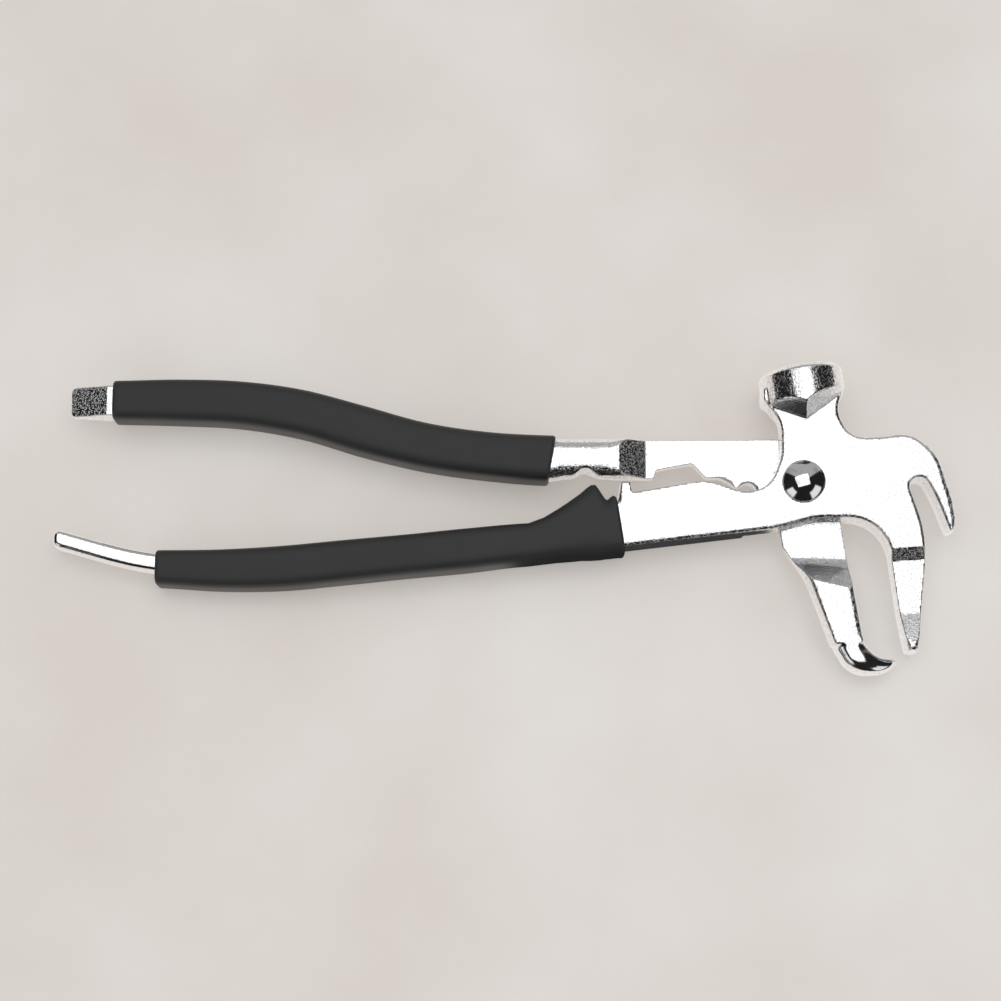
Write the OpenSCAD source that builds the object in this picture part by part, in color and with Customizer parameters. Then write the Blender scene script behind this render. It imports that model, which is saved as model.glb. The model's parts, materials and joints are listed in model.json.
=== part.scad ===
// Wheel weight pliers: two drop-forged halves on one rivet, with a dipped sleeve on each handle.
// The outlines are laid out round the pivot: the handles run to -X, the jaws hang to -Y, the hammer
// stands to +Y, and Z = 0 is the plane where the two lap plates meet. The last step moves the tool
// so that its origin is at the middle of the bottom of its box.

/* [Forging] */
// Full thickness of each forging
forging_t = 11; // [9.5:0.5:12.5]
// Rounding of the forged edges
edge_r = 1.2; // [0.8:0.1:1.4]
// Draft of the forged sides, from the parting line to the face
draft = 0.35; // [0.1:0.05:0.5]

/* [Pivot] */
// Radius of the lap disc round the rivet, and height of the hook half's shank over the pivot
lap_r = 13.1; // [12.6:0.1:13.6]
// Diameter of the rivet's shank
pin_d = 8; // [6:0.5:9]
// Diameter of the rivet's domed head
head_d = 11.8; // [10:0.2:13]
// Height of the rivet's domed head
head_h = 3; // [2:0.2:4]
// Height of the peened tail at the back
peen_h = 1.6; // [1:0.2:2.4]
// How far the handles open
open_angle = 32; // [20:1:33]

/* [Hammer] */
// Diameter of the hammer's face
hammer_d = 23.4; // [21:0.2:25]
// Height of the striking face over the pivot, along the hammer's axis
hammer_reach = 32.8; // [31:0.2:36]
// Lean of the hammer's axis towards the handles
hammer_lean = 8.5; // [6:0.5:10]
// Where the hammer's axis passes the pivot, towards the claw
hammer_shift = 5; // [4:0.2:6]
// Chamfer round the striking face
face_chamfer = 1.2; // [0.6:0.1:2]

/* [Claw and straight jaw] */
// Reach of the claw from the pivot
claw_reach = 42; // [40:0.2:44]
// Width of the claw, from its furthest point to the root of its slot
claw_w = 8.6; // [7.8:0.2:9.4]
// How far the claw's tip hangs below the pivot
claw_drop = 14.2; // [12:0.1:17]
// Width of the slot between the claw and the straight jaw
slot_w = 5.8; // [5:0.2:6.6]
// How far the straight jaw's tip hangs below the pivot
jaw_drop = 47.3; // [44:0.5:52]
// Width of the straight jaw's tip
jaw_tip_w = 3.2; // [2.6:0.2:4.4]
// Thickness taken off the front of the straight jaw below its step
jaw_step = 2.6; // [1:0.2:3.5]
// Thickness that the toe of the straight jaw has again, measured from the step's foot
toe_rise = 2.3; // [0.5:0.1:2.5]

/* [Hook jaw] */
// How far the horn hangs below the pivot
horn_drop = 53.2; // [52:0.2:58]
// Reach of the horn's tip from the pivot
horn_reach = 24.6; // [22:0.2:25]
// Width of the hook jaw where the horn starts
hook_w = 8.4; // [7:0.2:9.6]

/* [Shanks] */
// Height of the hook half's shank
shank_h = 11.3; // [10.6:0.1:12.4]
// Height of the scalloped window cut into the hook half
window_h = 4.3; // [3:0.1:5.4]
// Depth of the crimping notch
notch_h = 2.2; // [1.2:0.1:3]
// Length of the ramp from full thickness down to the lap
ramp_len = 7.8; // [6:0.2:9]

/* [Handles] */
// Distance from the pivot to the end of the upper sleeve
upper_reach = 192.4; // [180:1:210]
// Distance from the pivot to the end of the lower sleeve
lower_reach = 179.2; // [170:1:195]
// Thickness of the handle cores at their ends
core_end_t = 8.4; // [7:0.2:9]
// Length of the screwdriver blade outside the sleeve
blade_len = 11.4; // [8:0.2:20]
// Width of the screwdriver blade
blade_w = 8.6; // [7:0.2:9.4]
// Thickness of the screwdriver blade's tip
blade_tip_t = 1.6; // [1:0.1:2.4]
// Length of the pry tail outside the sleeve
pry_len = 28; // [20:0.5:36]
// Width of the pry tail as seen from above
pry_w = 4.8; // [4:0.1:6]

/* [Sleeves] */
// Wall of the dipped sleeves
grip_wall = 1.5; // [1.2:0.1:2]

/* [Clearances] */
// Radial running clearance of the hook half on the rivet
pin_fit = 0.05; // [0.02:0.01:0.1]
// Gap between the two lap faces, and under the rivet's peened tail
lap_gap = 0.1; // [0.05:0.05:0.2]
// Room that the moving lap plate has round its edge
sweep_gap = 0.5; // [0.4:0.1:0.8]
// Fit of the sleeves on the handle cores
grip_fit = 0.02; // [0.01:0.01:0.05]

/* [Hidden] */
$fn = 96;
steel = [0.80, 0.81, 0.82];
sleeve_grey = [0.21, 0.22, 0.22];

half_t = forging_t / 2;
half_gap = lap_gap / 2;
hammer_r = hammer_d / 2;
// Longer than the whole tool, for cuts that run right through
big = 300;
// Largest angle of a fillet's facet, and the most that a mitre or a small corner may stretch
ARC_STEP = 22;
MITRE_MIN = 0.5;
CORNER_SHARE = 0.9;
TINY = 1e-9;

// Plain geometry in the plane
function flat(p) = [p[0], p[1]];
function unit(v) = v / norm(v);
function turned(p, a) = [p[0] * cos(a) - p[1] * sin(a), p[0] * sin(a) + p[1] * cos(a)];
function cross2(a, b) = a[0] * b[1] - a[1] * b[0];
function soft_of(c) = len(c) > 3 ? c[3] : 1;
function is_convex(before, p, after) = cross2(flat(p) - flat(before), flat(after) - flat(p)) > 0;
function reversed(list) = [for (i = [len(list) - 1:-1:0]) list[i]];

// Corners are [x, y, fillet radius, edge softness]; a radius of 0 keeps the corner itself.
// Softness scales the rounding of the forged edge there, and a small outer corner limits it.
function fillet(before, c, after) =
    c[2] <= 0
        ? [[c[0], c[1], soft_of(c)]]
        : let (
            p = flat(c),
            room = is_convex(before, c, after) ? CORNER_SHARE * c[2] / (draft + edge_r) : soft_of(c),
            soft = min(soft_of(c), room),
            u = unit(flat(before) - p),
            v = unit(flat(after) - p),
            half = acos(max(-1, min(1, u * v))) / 2,
            middle = p + unit(u + v) * c[2] / sin(half),
            start = p + u * c[2] / tan(half) - middle,
            end = p + v * c[2] / tan(half) - middle,
            from = atan2(start[1], start[0]),
            sweep = (atan2(end[1], end[0]) - from + 540) % 360 - 180,
            steps = max(1, ceil(abs(sweep) / ARC_STEP))
        )
        [for (k = [0:steps])
            let (a = from + sweep * k / steps, q = middle + c[2] * [cos(a), sin(a)])
            [q[0], q[1], soft]];
function rounded(corners) =
    let (n = len(corners))
    [for (i = [0:n - 1]) each fillet(corners[(i + n - 1) % n], corners[i], corners[(i + 1) % n])];

// How a point of an anticlockwise outline moves when the outline is drawn in by 1
function mitre(before, p, after) =
    let (
        u = unit(flat(p) - flat(before)),
        v = unit(flat(after) - flat(p)),
        inward = unit([-u[1] - v[1], u[0] + v[0]])
    )
    inward / max(MITRE_MIN, inward * [-u[1], u[0]]);
function drawn_in(outline, by) =
    let (n = len(outline))
    [for (i = [0:n - 1])
        let (
            p = outline[i],
            q = flat(p) + mitre(outline[(i + n - 1) % n], p, outline[(i + 1) % n]) * by * p[2]
        )
        [q[0], q[1], p[2]]];

// Ear clipping, because the faces of a forging are hollow outlines
function blocked(a, b, c, p) =
    cross2(b - a, p - a) > -TINY && cross2(c - b, p - b) > -TINY && cross2(a - c, p - c) > -TINY;
function is_ear(points, ring, i) =
    let (
        n = len(ring),
        ia = ring[(i + n - 1) % n],
        ib = ring[i],
        ic = ring[(i + 1) % n],
        a = points[ia],
        b = points[ib],
        c = points[ic]
    )
    cross2(b - a, c - b) > TINY
    && len([for (j = ring) if (j != ia && j != ib && j != ic && blocked(a, b, c, points[j])) 1]) == 0;
function first_ear(points, ring, i) =
    i >= len(ring) - 1 || is_ear(points, ring, i) ? i : first_ear(points, ring, i + 1);
function ears(points, ring, found) =
    len(ring) < 4
        ? concat(found, [ring])
        : let (
            n = len(ring),
            i = first_ear(points, ring, 0),
            ear = [ring[(i + n - 1) % n], ring[i], ring[(i + 1) % n]]
        )
        ears(points, [for (k = [0:n - 1]) if (k != i) ring[k]], concat(found, [ear]));

// A forging: one outline, drawn in towards both faces by the draft and the rounded edge.
// grow moves every surface outwards, for the space that another piece leaves round it.
function edge_levels(half_h) =
    [
        for (a = [90, 45, 0]) [-(half_h - edge_r + edge_r * sin(a)), draft + edge_r * (1 - cos(a))],
        [0, 0],
        for (a = [0, 45, 90]) [half_h - edge_r + edge_r * sin(a), draft + edge_r * (1 - cos(a))]
    ];
module forging(outline, half_h, grow = 0) {
    n = len(outline);
    levels = edge_levels(half_h);
    top = len(levels) - 1;
    rings = [for (l = levels) drawn_in(outline, l[1] - grow)];
    flat_top = [for (p = rings[top]) flat(p)];
    cap = ears(flat_top, [for (i = [0:n - 1]) i], []);
    points = [
        for (k = [0:top]) for (p = rings[k])
            [p[0], p[1], levels[k][0] + sign(levels[k][0]) * grow]
    ];
    faces = [
        for (t = cap) [t[0], t[1], t[2]],
        for (t = cap) [for (i = [2, 1, 0]) t[i] + top * n],
        for (k = [0:top - 1]) for (i = [0:n - 1])
            let (j = (i + 1) % n, a = k * n + i, b = k * n + j)
            each [[a, a + n, b], [b, a + n, b + n]]
    ];
    polyhedron(points, faces, convexity = 12);
}

// A loft: equal rings of points, closed by a fan at each end
module loft(rings) {
    n = len(rings[0]);
    top = len(rings) - 1;
    points = [for (r = rings) each r];
    faces = [
        for (i = [1:n - 2]) [0, i, i + 1],
        for (i = [1:n - 2]) [top * n, top * n + i + 1, top * n + i],
        for (k = [0:top - 1]) for (i = [0:n - 1])
            let (j = (i + 1) % n, a = k * n + i, b = k * n + j)
            each [[a, a + n, b], [b, a + n, b + n]]
    ];
    polyhedron(points, faces, convexity = 6);
}

// A smooth curve through evenly spaced heights, read at u from 0 to 1
function smooth(heights, u) =
    let (
        n = len(heights) - 1,
        i = min(n - 1, floor(u * n)),
        t = u * n - i,
        p0 = heights[max(0, i - 1)],
        p1 = heights[i],
        p2 = heights[i + 1],
        p3 = heights[min(n, i + 2)]
    )
    p1 + t * ((p2 - p0) / 2 + t * (p0 - 2.5 * p1 + 2 * p2 - p3 / 2
        + t * (1.5 * (p1 - p2) + (p3 - p0) / 2)));

// Handles: stations of [x, top of the sleeve, bottom of the sleeve], from the shank to the end
HANDLE_STEPS = 18;
upper_start = 69.5;
upper_tops = [14.5, 15.1, 17.5, 22.4, 27.6, 30, 30.2, 29.5];
upper_bottoms = [-0.3, 0.9, 3.5, 7.6, 13.2, 16.3, 17, 17.2];
upper_stations = [
    for (k = [0:HANDLE_STEPS])
        let (u = k / HANDLE_STEPS)
        [-upper_start - (upper_reach - upper_start) * u, smooth(upper_tops, u), smooth(upper_bottoms, u)]
];
lower_start = 76;
lower_tops = [-10.3, -11.9, -13.6, -15.4, -17, -18.2, -18.7];
lower_bottoms = [-22.3, -24.1, -26, -28, -29.6, -29.8, -28.5];
// The crimping tooth and the block beside it, under the sleeve's right end
tooth_stations = [
    [-51.4, -3.6, -20.1], [-52.3, -4.1, -20.1], [-53.3, -4.6, -20.2], [-54.9, -3.4, -20.3],
    [-56.8, -0.1, -20.5], [-58.4, 0.1, -20.7], [-61.2, -1.9, -20.9], [-64.6, -4.6, -21.2],
    [-68.2, -7.2, -21.5], [-71.8, -9.2, -21.9]
];
lower_stations = concat(tooth_stations, [
    for (k = [0:HANDLE_STEPS])
        let (u = k / HANDLE_STEPS)
        [-lower_start - (lower_reach - lower_start) * u, smooth(lower_tops, u), smooth(lower_bottoms, u)]
]);
function core_tops(stations) = [for (s = stations) [s[0], s[1] - grip_wall, 0]];
function core_bottoms(stations) = [for (s = reversed(stations)) [s[0], s[2] + grip_wall, 0]];
function end_of(stations) = stations[len(stations) - 1];

// Outline of the hammer half, anticlockwise from the end of the lower handle
slot_side = claw_reach - claw_w - slot_w;
hammer_corners = concat(
    core_bottoms(lower_stations),
    [
        [-7.5, -13.4, 22],
        [3, -10.5, 14],
        [22.3, -10, 11.5],
        [25.6, -38, 60],
        [30.4 - jaw_tip_w, 0.2 - jaw_drop, 1, 0.6],
        [30.4, -jaw_drop, 1.2, 0.6],
        [33.5, -21, 24, 0.8],
        [slot_side + 5.3, -12, 30, 0.6],
        [slot_side + 1.2, 0.2, 2.3, 0.5],
        [slot_side + slot_w, 1.3, 2.1, 0.6],
        [claw_reach - 5.5, -4.9, 30, 0.7],
        [claw_reach - 2.2, -claw_drop, 0.6, 0.5],
        [claw_reach - 0.7, 0.6 - claw_drop, 0.8, 0.5],
        [claw_reach, 3.2 - claw_drop, 8, 0.9],
        [claw_reach - 0.5, -5.5, 16],
        [claw_reach - 4.9, 9, 13],
        [29.6, 14.2, 9],
        [21.5, 12.9, 30],
        [13.2, 13, 6],
        [10, 20.2, 7],
        [12.2, 27, 0.8, 0.6],
        [-10.9, 27, 0.8, 0.5],
        [-10.9, 23.2, 1.5, 0.5],
        [-6.2, 17, 8, 0.5],
        [-6, 7.8, 10, 0.5],
        [-9.7, -2.4, 8],
        [-17.5, -2.3, 9],
        [-26.6, 1, 14],
        [-47.1, -2.6, 0.6, 0.5],
        [-47.6, 0.4, 0.5, 0.5],
        [-50.6, 0.3, 0.6, 0.5]
    ],
    core_tops(lower_stations)
);
hammer_outline = rounded(hammer_corners);

// Outline of the hook half, anticlockwise from the end of the upper handle
shank_low = lap_r - shank_h;
shank_top = lap_r - 0.4;
hook_flank = [-9.4, -8.6];
hook_left = [-6.2, -13];
hook_left_low = [-5.6, -17.4];
hook_right = [10.6, -10.6];
hook_right_low = [12.6, -25];
hook_corners = concat(
    core_bottoms(upper_stations),
    [
        [-66.5, shank_low, 3, 1.4],
        [-63.7, shank_low, 1, 0.8],
        [-61.4, shank_low + notch_h, 0.8, 0.6],
        [-59.7, shank_low + notch_h, 0.8, 0.6],
        [-56.1, shank_low, 1, 0.8],
        [-42, shank_low, 1, 0.6],
        [-41, shank_low + 0.2, 0.5, 0.3],
        [-40.3, shank_low + window_h - 1.8, 1.2, 0.3],
        [-30.2, shank_low + window_h, 1.5, 0.3],
        [-26.6, shank_low + 0.2, 1.5, 0.3],
        [-22.6, shank_low + 0.3, 3, 0.3],
        [-20.2, shank_low - 0.9, 3, 0.3],
        [-18.1, shank_low - 2.8, 0.4, 0.3],
        [-16.6, shank_low - 1.7, 1.5, 0.3],
        [-14.9, shank_low - 1.1, 1.5, 0.3],
        [-13.4, shank_low - 1.6, 1.5, 0.3],
        [-12.2, -1.6, 1, 0.4],
        [hook_flank[0], hook_flank[1], 4, 0.5],
        [hook_left[0], hook_left[1], 1.2, 0.6],
        [hook_left_low[0], hook_left_low[1], 2, 0.8],
        [0.6, -26.6, 20, 1.1],
        [15.7 - hook_w, 7.6 - horn_drop, 2, 1.2],
        [15.7, 7.8 - horn_drop, 2, 1.4],
        [hook_right_low[0], hook_right_low[1], 40, 1.6],
        [hook_right[0], hook_right[1], 4],
        [lap_r + 0.2, -3, 8],
        [lap_r - 0.6, lap_r + 0.1, lap_r - 0.8],
        [-43, shank_top, 60],
        [-66.8, shank_top, 3, 1.4]
    ],
    core_tops(upper_stations)
);
hook_outline = rounded(hook_corners);

// Where the hook half's lap plate lies while the handles open, with room round it: the front half's
// back is cut away there, and the walls of the cut are the stops of the open handles
stop_angle = open_angle + 1;
// How far the cut runs on below the outline that it clears
sweep_fall = 2.6;
module lap_sweep_shape() {
    room = lap_r + sweep_gap;
    beyond = big / 3;
    circle(r = room);
    polygon([
        turned([0, room], -stop_angle),
        turned([-beyond, room], -stop_angle),
        [-beyond, shank_low - sweep_fall],
        [0, shank_low - sweep_fall]
    ]);
    polygon([
        [0, 0],
        turned(hook_flank + [-2 * sweep_gap, sweep_gap], -stop_angle),
        turned(hook_left + [-sweep_gap, sweep_gap], -stop_angle),
        turned(hook_left_low + [-sweep_gap, -sweep_fall], -stop_angle),
        turned(hook_left_low + [-sweep_gap, -6 * sweep_fall], -stop_angle),
        hook_right_low + [sweep_gap, -2 * sweep_fall],
        hook_right + [2 * sweep_gap, 0],
        [room, -sweep_fall]
    ]);
}
module lap_sweep_cut() {
    translate([0, 0, half_gap - big])
        linear_extrude(big)
            lap_sweep_shape();
}

// The space in front of the hook half's lap plate, between its two ramps
ramp_foot = -43.3;
jaw_ramp_foot = -21.4;
jaw_ramp_len = 7.4;
module lap_front_cut() {
    intersection() {
        rotate([90, 0, 0])
            linear_extrude(big, center = true)
                polygon([
                    [ramp_foot, -half_gap],
                    [big, -half_gap],
                    [big, big],
                    [ramp_foot - ramp_len * big / half_t, big - half_gap]
                ]);
        rotate([0, 0, -4])
            rotate([90, 0, 90])
                linear_extrude(big, center = true)
                    polygon([
                        [jaw_ramp_foot, -half_gap],
                        [big, -half_gap],
                        [big, big],
                        [jaw_ramp_foot - jaw_ramp_len * big / half_t, big - half_gap]
                    ]);
    }
}

// The scallops' front edges are ground back: [x, y, radius at the lap face] of each grinding cone
scallops = [[-22.6, -2.2, 4.5], [-14.9, -2.1, 3.2]];
scallop_bevel = 1.2;
module scallop_cut() {
    for (s = scallops)
        translate([s[0], s[1], -half_gap - scallop_bevel])
            cylinder(h = scallop_bevel + 1, r1 = s[2] - scallop_bevel, r2 = s[2] + 1, $fn = 48);
}

// The handle cores get thinner towards their ends
module core_taper(start, end, grow) {
    end_half = core_end_t / 2 + grow;
    start_half = half_t + grow;
    for (side = [-1, 1])
        rotate([90, 0, 0])
            linear_extrude(big, center = true)
                polygon([
                    [-start, side * start_half],
                    [-end, side * end_half],
                    [-end - big / 2, side * end_half],
                    [-end - big / 2, side * big],
                    [-start, side * big]
                ]);
}
taper_start = 78;
module hammer_core(grow = 0) {
    difference() {
        forging(hammer_outline, half_t, grow);
        core_taper(taper_start, lower_reach, grow);
    }
}
module hook_core(grow = 0) {
    difference() {
        forging(hook_outline, half_t, grow);
        core_taper(taper_start, upper_reach, grow);
    }
}

// Hammer head: a turned poll on a leaning axis, keeled underneath down to the neck
keel_rise = 0.53;
keel_foot = 15.6;
keel_offset = -1.2;
keel_h = 40;
poll_foot = 14;
module on_hammer_axis() {
    translate([hammer_shift, 0, 0])
        rotate([0, 0, hammer_lean])
            rotate([-90, 0, 0])
                children();
}
module hammer_head() {
    intersection() {
        on_hammer_axis()
            rotate_extrude()
                polygon([
                    [0, poll_foot],
                    [hammer_r, poll_foot],
                    [hammer_r, hammer_reach - face_chamfer],
                    [hammer_r - face_chamfer, hammer_reach],
                    [0, hammer_reach]
                ]);
        on_hammer_axis()
            translate([keel_offset, 0, keel_foot])
                cylinder(h = keel_h, r1 = 0, r2 = keel_h / keel_rise, $fn = 4);
        linear_extrude(big, center = true)
            polygon([for (p = rounded([
                [-6.4, poll_foot, 0],
                [9.6, poll_foot, 0],
                [9.8, 20.2, 7],
                [12.4, 27.2, 2],
                [18, 29, 0],
                [12, 50, 0],
                [-20, 50, 0],
                [-16, 31, 0],
                [-11.4, 23.5, 2],
                [-7.2, 17.8, 6]
            ])) flat(p)]);
    }
}

// Front of the straight jaw: a step down from full thickness, a flat, and a toe that rises again
// and ends in a blunt nose. These are places along a line that leans by step_turn.
step_turn = 4;
step_y = -20.1;
step_run = 3.4;
toe_start = -37.9;
toe_end = -47.1;
nose_start = -48.3;
nose_end = -49.9;
nose_drop = 1.8;
module jaw_step_cut() {
    foot_z = half_t - jaw_step;
    toe_z = foot_z + toe_rise;
    rotate([0, 0, step_turn])
        rotate([90, 0, 90])
            linear_extrude(big, center = true)
                polygon([
                    [step_y, half_t + 0.01],
                    [step_y, big],
                    [-big, big],
                    [-big, toe_z - nose_drop],
                    [nose_end, toe_z - nose_drop],
                    [nose_start, toe_z],
                    [toe_end, toe_z],
                    [toe_start, foot_z],
                    [step_y - step_run, foot_z]
                ]);
}

// How far both tails reach into their sleeves, and how much thinner they are than the cores
tail_depth = 9;
tail_step = 0.4;

// Screwdriver blade on the upper handle
upper_end = end_of(upper_stations);
blade_y = (upper_end[1] + upper_end[2]) / 2;
blade_corner = 1.6;
tip_bevel_len = 1;
tip_bevel = 0.2;
module screwdriver() {
    tip_x = -upper_reach - blade_len;
    taper_x = -upper_reach - tip_bevel_len;
    root_x = tail_depth - upper_reach;
    root_half = core_end_t / 2 - tail_step;
    tip_half = blade_tip_t / 2;
    intersection() {
        translate([0, blade_y, 0])
            rotate([90, 0, 0])
                linear_extrude(blade_w, center = true)
                    polygon([
                        [root_x, -root_half],
                        [root_x, root_half],
                        [taper_x, root_half],
                        [tip_x + tip_bevel_len, tip_half + tip_bevel],
                        [tip_x, tip_half - tip_bevel],
                        [tip_x, tip_bevel - tip_half],
                        [tip_x + tip_bevel_len, -tip_half - tip_bevel],
                        [taper_x, -root_half]
                    ]);
        linear_extrude(big, center = true)
            polygon([for (p = rounded([
                [root_x, blade_y - blade_w / 2, 0],
                [root_x, blade_y + blade_w / 2, 0],
                [tip_x, blade_y + blade_w / 2, blade_corner],
                [tip_x, blade_y - blade_w / 2, blade_corner]
            ])) flat(p)]);
    }
}

// Pry tail on the lower handle: a flat bar on its edge, curving upwards to a rounded tip
lower_end = end_of(lower_stations);
pry_y = (lower_end[1] + lower_end[2]) / 2;
pry_rises = [0.6, 1.7, 3.1, 5, 7.2, 9];
pry_outline =
    let (
        steps = 10,
        root_x = tail_depth - lower_reach,
        run = pry_len + tail_depth,
        middle = [for (k = [0:steps])
            [root_x - run * k / steps, pry_y + smooth(pry_rises, k / steps)]],
        upper = [for (k = [0:steps - 1]) middle[k] + [0, pry_w / 2]],
        lower = [for (k = [0:steps - 1]) middle[k] - [0, pry_w / 2]],
        tip = middle[steps],
        tip_r = pry_w / 2 - 0.5
    )
    rounded(concat(
        [for (p = reversed(lower)) [p[0], p[1], 0]],
        [for (p = upper) [p[0], p[1], 0]],
        [[tip[0], tip[1] + tip_r + 0.3, tip_r], [tip[0], tip[1] - tip_r - 0.1, tip_r]]
    ));
module pry_tail() {
    forging(pry_outline, core_end_t / 2 - tail_step / 2);
}

// Horn of the hook jaw: a beak that swells out of the jaw and turns towards the straight jaw
HORN_SIDES = 20;
horn_path = [
    [11.4, 9.8 - horn_drop, hook_w / 2 - 0.2, 4.9],
    [11.5, 8.2 - horn_drop, hook_w / 2, 5.5],
    [11.7, 6.4 - horn_drop, hook_w / 2, 5.7],
    [12.6, 4.7 - horn_drop, 4, 5.6],
    [14.2, 3.6 - horn_drop, 3.65, 5.3],
    [16.4, 3.1 - horn_drop, 3.1, 4.8],
    [18.6, 2.9 - horn_drop, 2.6, 4.2],
    [horn_reach - 3.7, 2.9 - horn_drop, 1.95, 3.3],
    [horn_reach - 1.8, 3.2 - horn_drop, 1.3, 2.3],
    [horn_reach - 0.5, 3.7 - horn_drop, 0.7, 1.3],
    [horn_reach, 4 - horn_drop, 0.3, 0.5]
];
horn_rings =
    let (n = len(horn_path))
    [for (k = [0:n - 1])
        let (
            s = horn_path[k],
            ahead = unit(flat(horn_path[min(n - 1, k + 1)]) - flat(horn_path[max(0, k - 1)])),
            aside = [-ahead[1], ahead[0]]
        )
        [for (i = [0:HORN_SIDES - 1])
            let (a = 360 * i / HORN_SIDES, q = flat(s) + aside * s[2] * cos(a))
            [q[0], q[1], s[3] * sin(a)]]];
module horn() {
    loft(horn_rings);
}

// The rivet: domed head in front, shank, and a low peened tail behind
module dome(d, h) {
    ball_r = (d * d / 4 + h * h) / (2 * h);
    intersection() {
        translate([0, 0, h - ball_r])
            sphere(r = ball_r);
        cylinder(h = h + 1, d = d);
    }
}
rim_h = 0.5;
module pivot_rivet_shape() {
    translate([0, 0, -half_t - lap_gap])
        cylinder(h = forging_t + lap_gap, d = pin_d);
    translate([0, 0, half_t])
        cylinder(h = rim_h, d = head_d);
    translate([0, 0, half_t + rim_h])
        dome(head_d, head_h - rim_h);
    translate([0, 0, -half_t - lap_gap])
        rotate([180, 0, 0])
            dome(head_d, peen_h);
}

// A sleeve: soft rectangular sections along the stations, over the handle core
SLEEVE_SIDES = 24;
SLEEVE_POWER = 0.56;
lower_mouth_slant = -0.15;
upper_mouth_slant = 0.17;
mouth_rings = 4;
lip_len = 0.9;
lip_in = 0.5;
function soft_wave(v) = sign(v) * pow(abs(v), SLEEVE_POWER);
function sleeve_ring(x, top, bottom, half_h, slant) =
    let (half_w = (top - bottom) / 2, y = (top + bottom) / 2)
    [for (i = [0:SLEEVE_SIDES - 1])
        let (a = 360 * i / SLEEVE_SIDES, w = half_w * soft_wave(cos(a)))
        [x + slant * w, y + w, half_h * soft_wave(sin(a))]];
function half_at(x, end) =
    grip_wall + half_t + (core_end_t / 2 - half_t) * max(0, min(1, (-x - taper_start) / (end - taper_start)));
module sleeve(stations, end, mouth_slant) {
    n = len(stations) - 1;
    last = stations[n];
    last_half = half_at(last[0], end) - lip_in;
    body = [for (k = [0:n])
        let (s = stations[k], slant = mouth_slant * max(0, 1 - k / mouth_rings))
        sleeve_ring(s[0], s[1], s[2], half_at(s[0], end), slant)];
    lip = sleeve_ring(last[0] - lip_len, last[1] - lip_in, last[2] + lip_in, last_half, 0);
    loft(concat(body, [lip]));
}

// The sub-parts, in the pivot's own frame
module hammer_half_shape() {
    difference() {
        union() {
            hammer_core();
            hammer_head();
            pry_tail();
        }
        jaw_step_cut();
        lap_sweep_cut();
        cylinder(h = big, d = pin_d, center = true);
    }
}
module hook_half_shape() {
    difference() {
        union() {
            hook_core();
            screwdriver();
            horn();
        }
        lap_front_cut();
        scallop_cut();
        cylinder(h = big, r = pin_d / 2 + pin_fit, center = true);
    }
}

// The tool's box, from the points that reach furthest
left = min([for (p = pry_outline) p[0]]);
right = max([for (p = hammer_outline) p[0]]);
low = min([for (r = horn_rings) for (p = r) p[1]]);
high = max(
    hammer_reach * cos(hammer_lean) + (hammer_r - face_chamfer) * sin(hammer_lean),
    (hammer_reach - face_chamfer) * cos(hammer_lean) + hammer_r * sin(hammer_lean)
);
module place() {
    translate([-(left + right) / 2, -(low + high) / 2, hammer_r])
        children();
}
echo(pivot = [-(left + right) / 2, -(low + high) / 2, hammer_r], box = [right - left, high - low, hammer_d]);

module hammer_half() {
    color(steel)
        place()
            hammer_half_shape();
}
module hook_half() {
    color(steel)
        place()
            hook_half_shape();
}
module pivot_rivet() {
    color(steel)
        place()
            pivot_rivet_shape();
}
module hammer_half_grip() {
    color(sleeve_grey)
        place()
            difference() {
                sleeve(lower_stations, lower_reach, lower_mouth_slant);
                hammer_core(grip_fit);
                pry_tail();
            }
}
module hook_half_grip() {
    color(sleeve_grey)
        place()
            difference() {
                sleeve(upper_stations, upper_reach, upper_mouth_slant);
                hook_core(grip_fit);
                screwdriver();
            }
}

hammer_half();
hook_half();
pivot_rivet();
hammer_half_grip();
hook_half_grip();
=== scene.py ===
# %% [markdown]
# # Wheel weight pliers
# The tool is two drop-forged and plated halves on one rivet, with a dipped plastic sleeve on each
# handle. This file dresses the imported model: it makes the forged halves, the rivet and the sleeves
# again with the soft corners and the surface that the solids leave out, and lights them.

# %% Load the fixed frame
import json
import math

import bmesh
import bpy
import numpy as np
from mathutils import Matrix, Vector


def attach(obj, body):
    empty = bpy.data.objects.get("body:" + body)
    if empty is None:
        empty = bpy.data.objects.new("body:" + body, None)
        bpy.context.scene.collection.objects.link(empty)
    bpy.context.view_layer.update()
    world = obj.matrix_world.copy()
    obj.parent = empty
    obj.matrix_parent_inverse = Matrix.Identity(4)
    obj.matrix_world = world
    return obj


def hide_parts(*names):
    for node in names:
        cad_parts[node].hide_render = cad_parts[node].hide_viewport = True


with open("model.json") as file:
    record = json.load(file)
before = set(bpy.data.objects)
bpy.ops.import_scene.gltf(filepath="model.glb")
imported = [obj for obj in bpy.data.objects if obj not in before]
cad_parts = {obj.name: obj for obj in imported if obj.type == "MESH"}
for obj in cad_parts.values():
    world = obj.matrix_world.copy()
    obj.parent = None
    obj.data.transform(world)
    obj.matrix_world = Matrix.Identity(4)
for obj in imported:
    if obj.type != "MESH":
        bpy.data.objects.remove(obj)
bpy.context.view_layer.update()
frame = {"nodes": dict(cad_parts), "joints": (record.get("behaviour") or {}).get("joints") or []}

# %% [markdown]
# All sizes below are in millimetres round the rivet, because every piece of this tool is laid out
# from it: the handles run to -X, the jaws hang to -Y and the hammer stands to +Y. One function
# takes such points to Blender's metres in the model's own frame.

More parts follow.
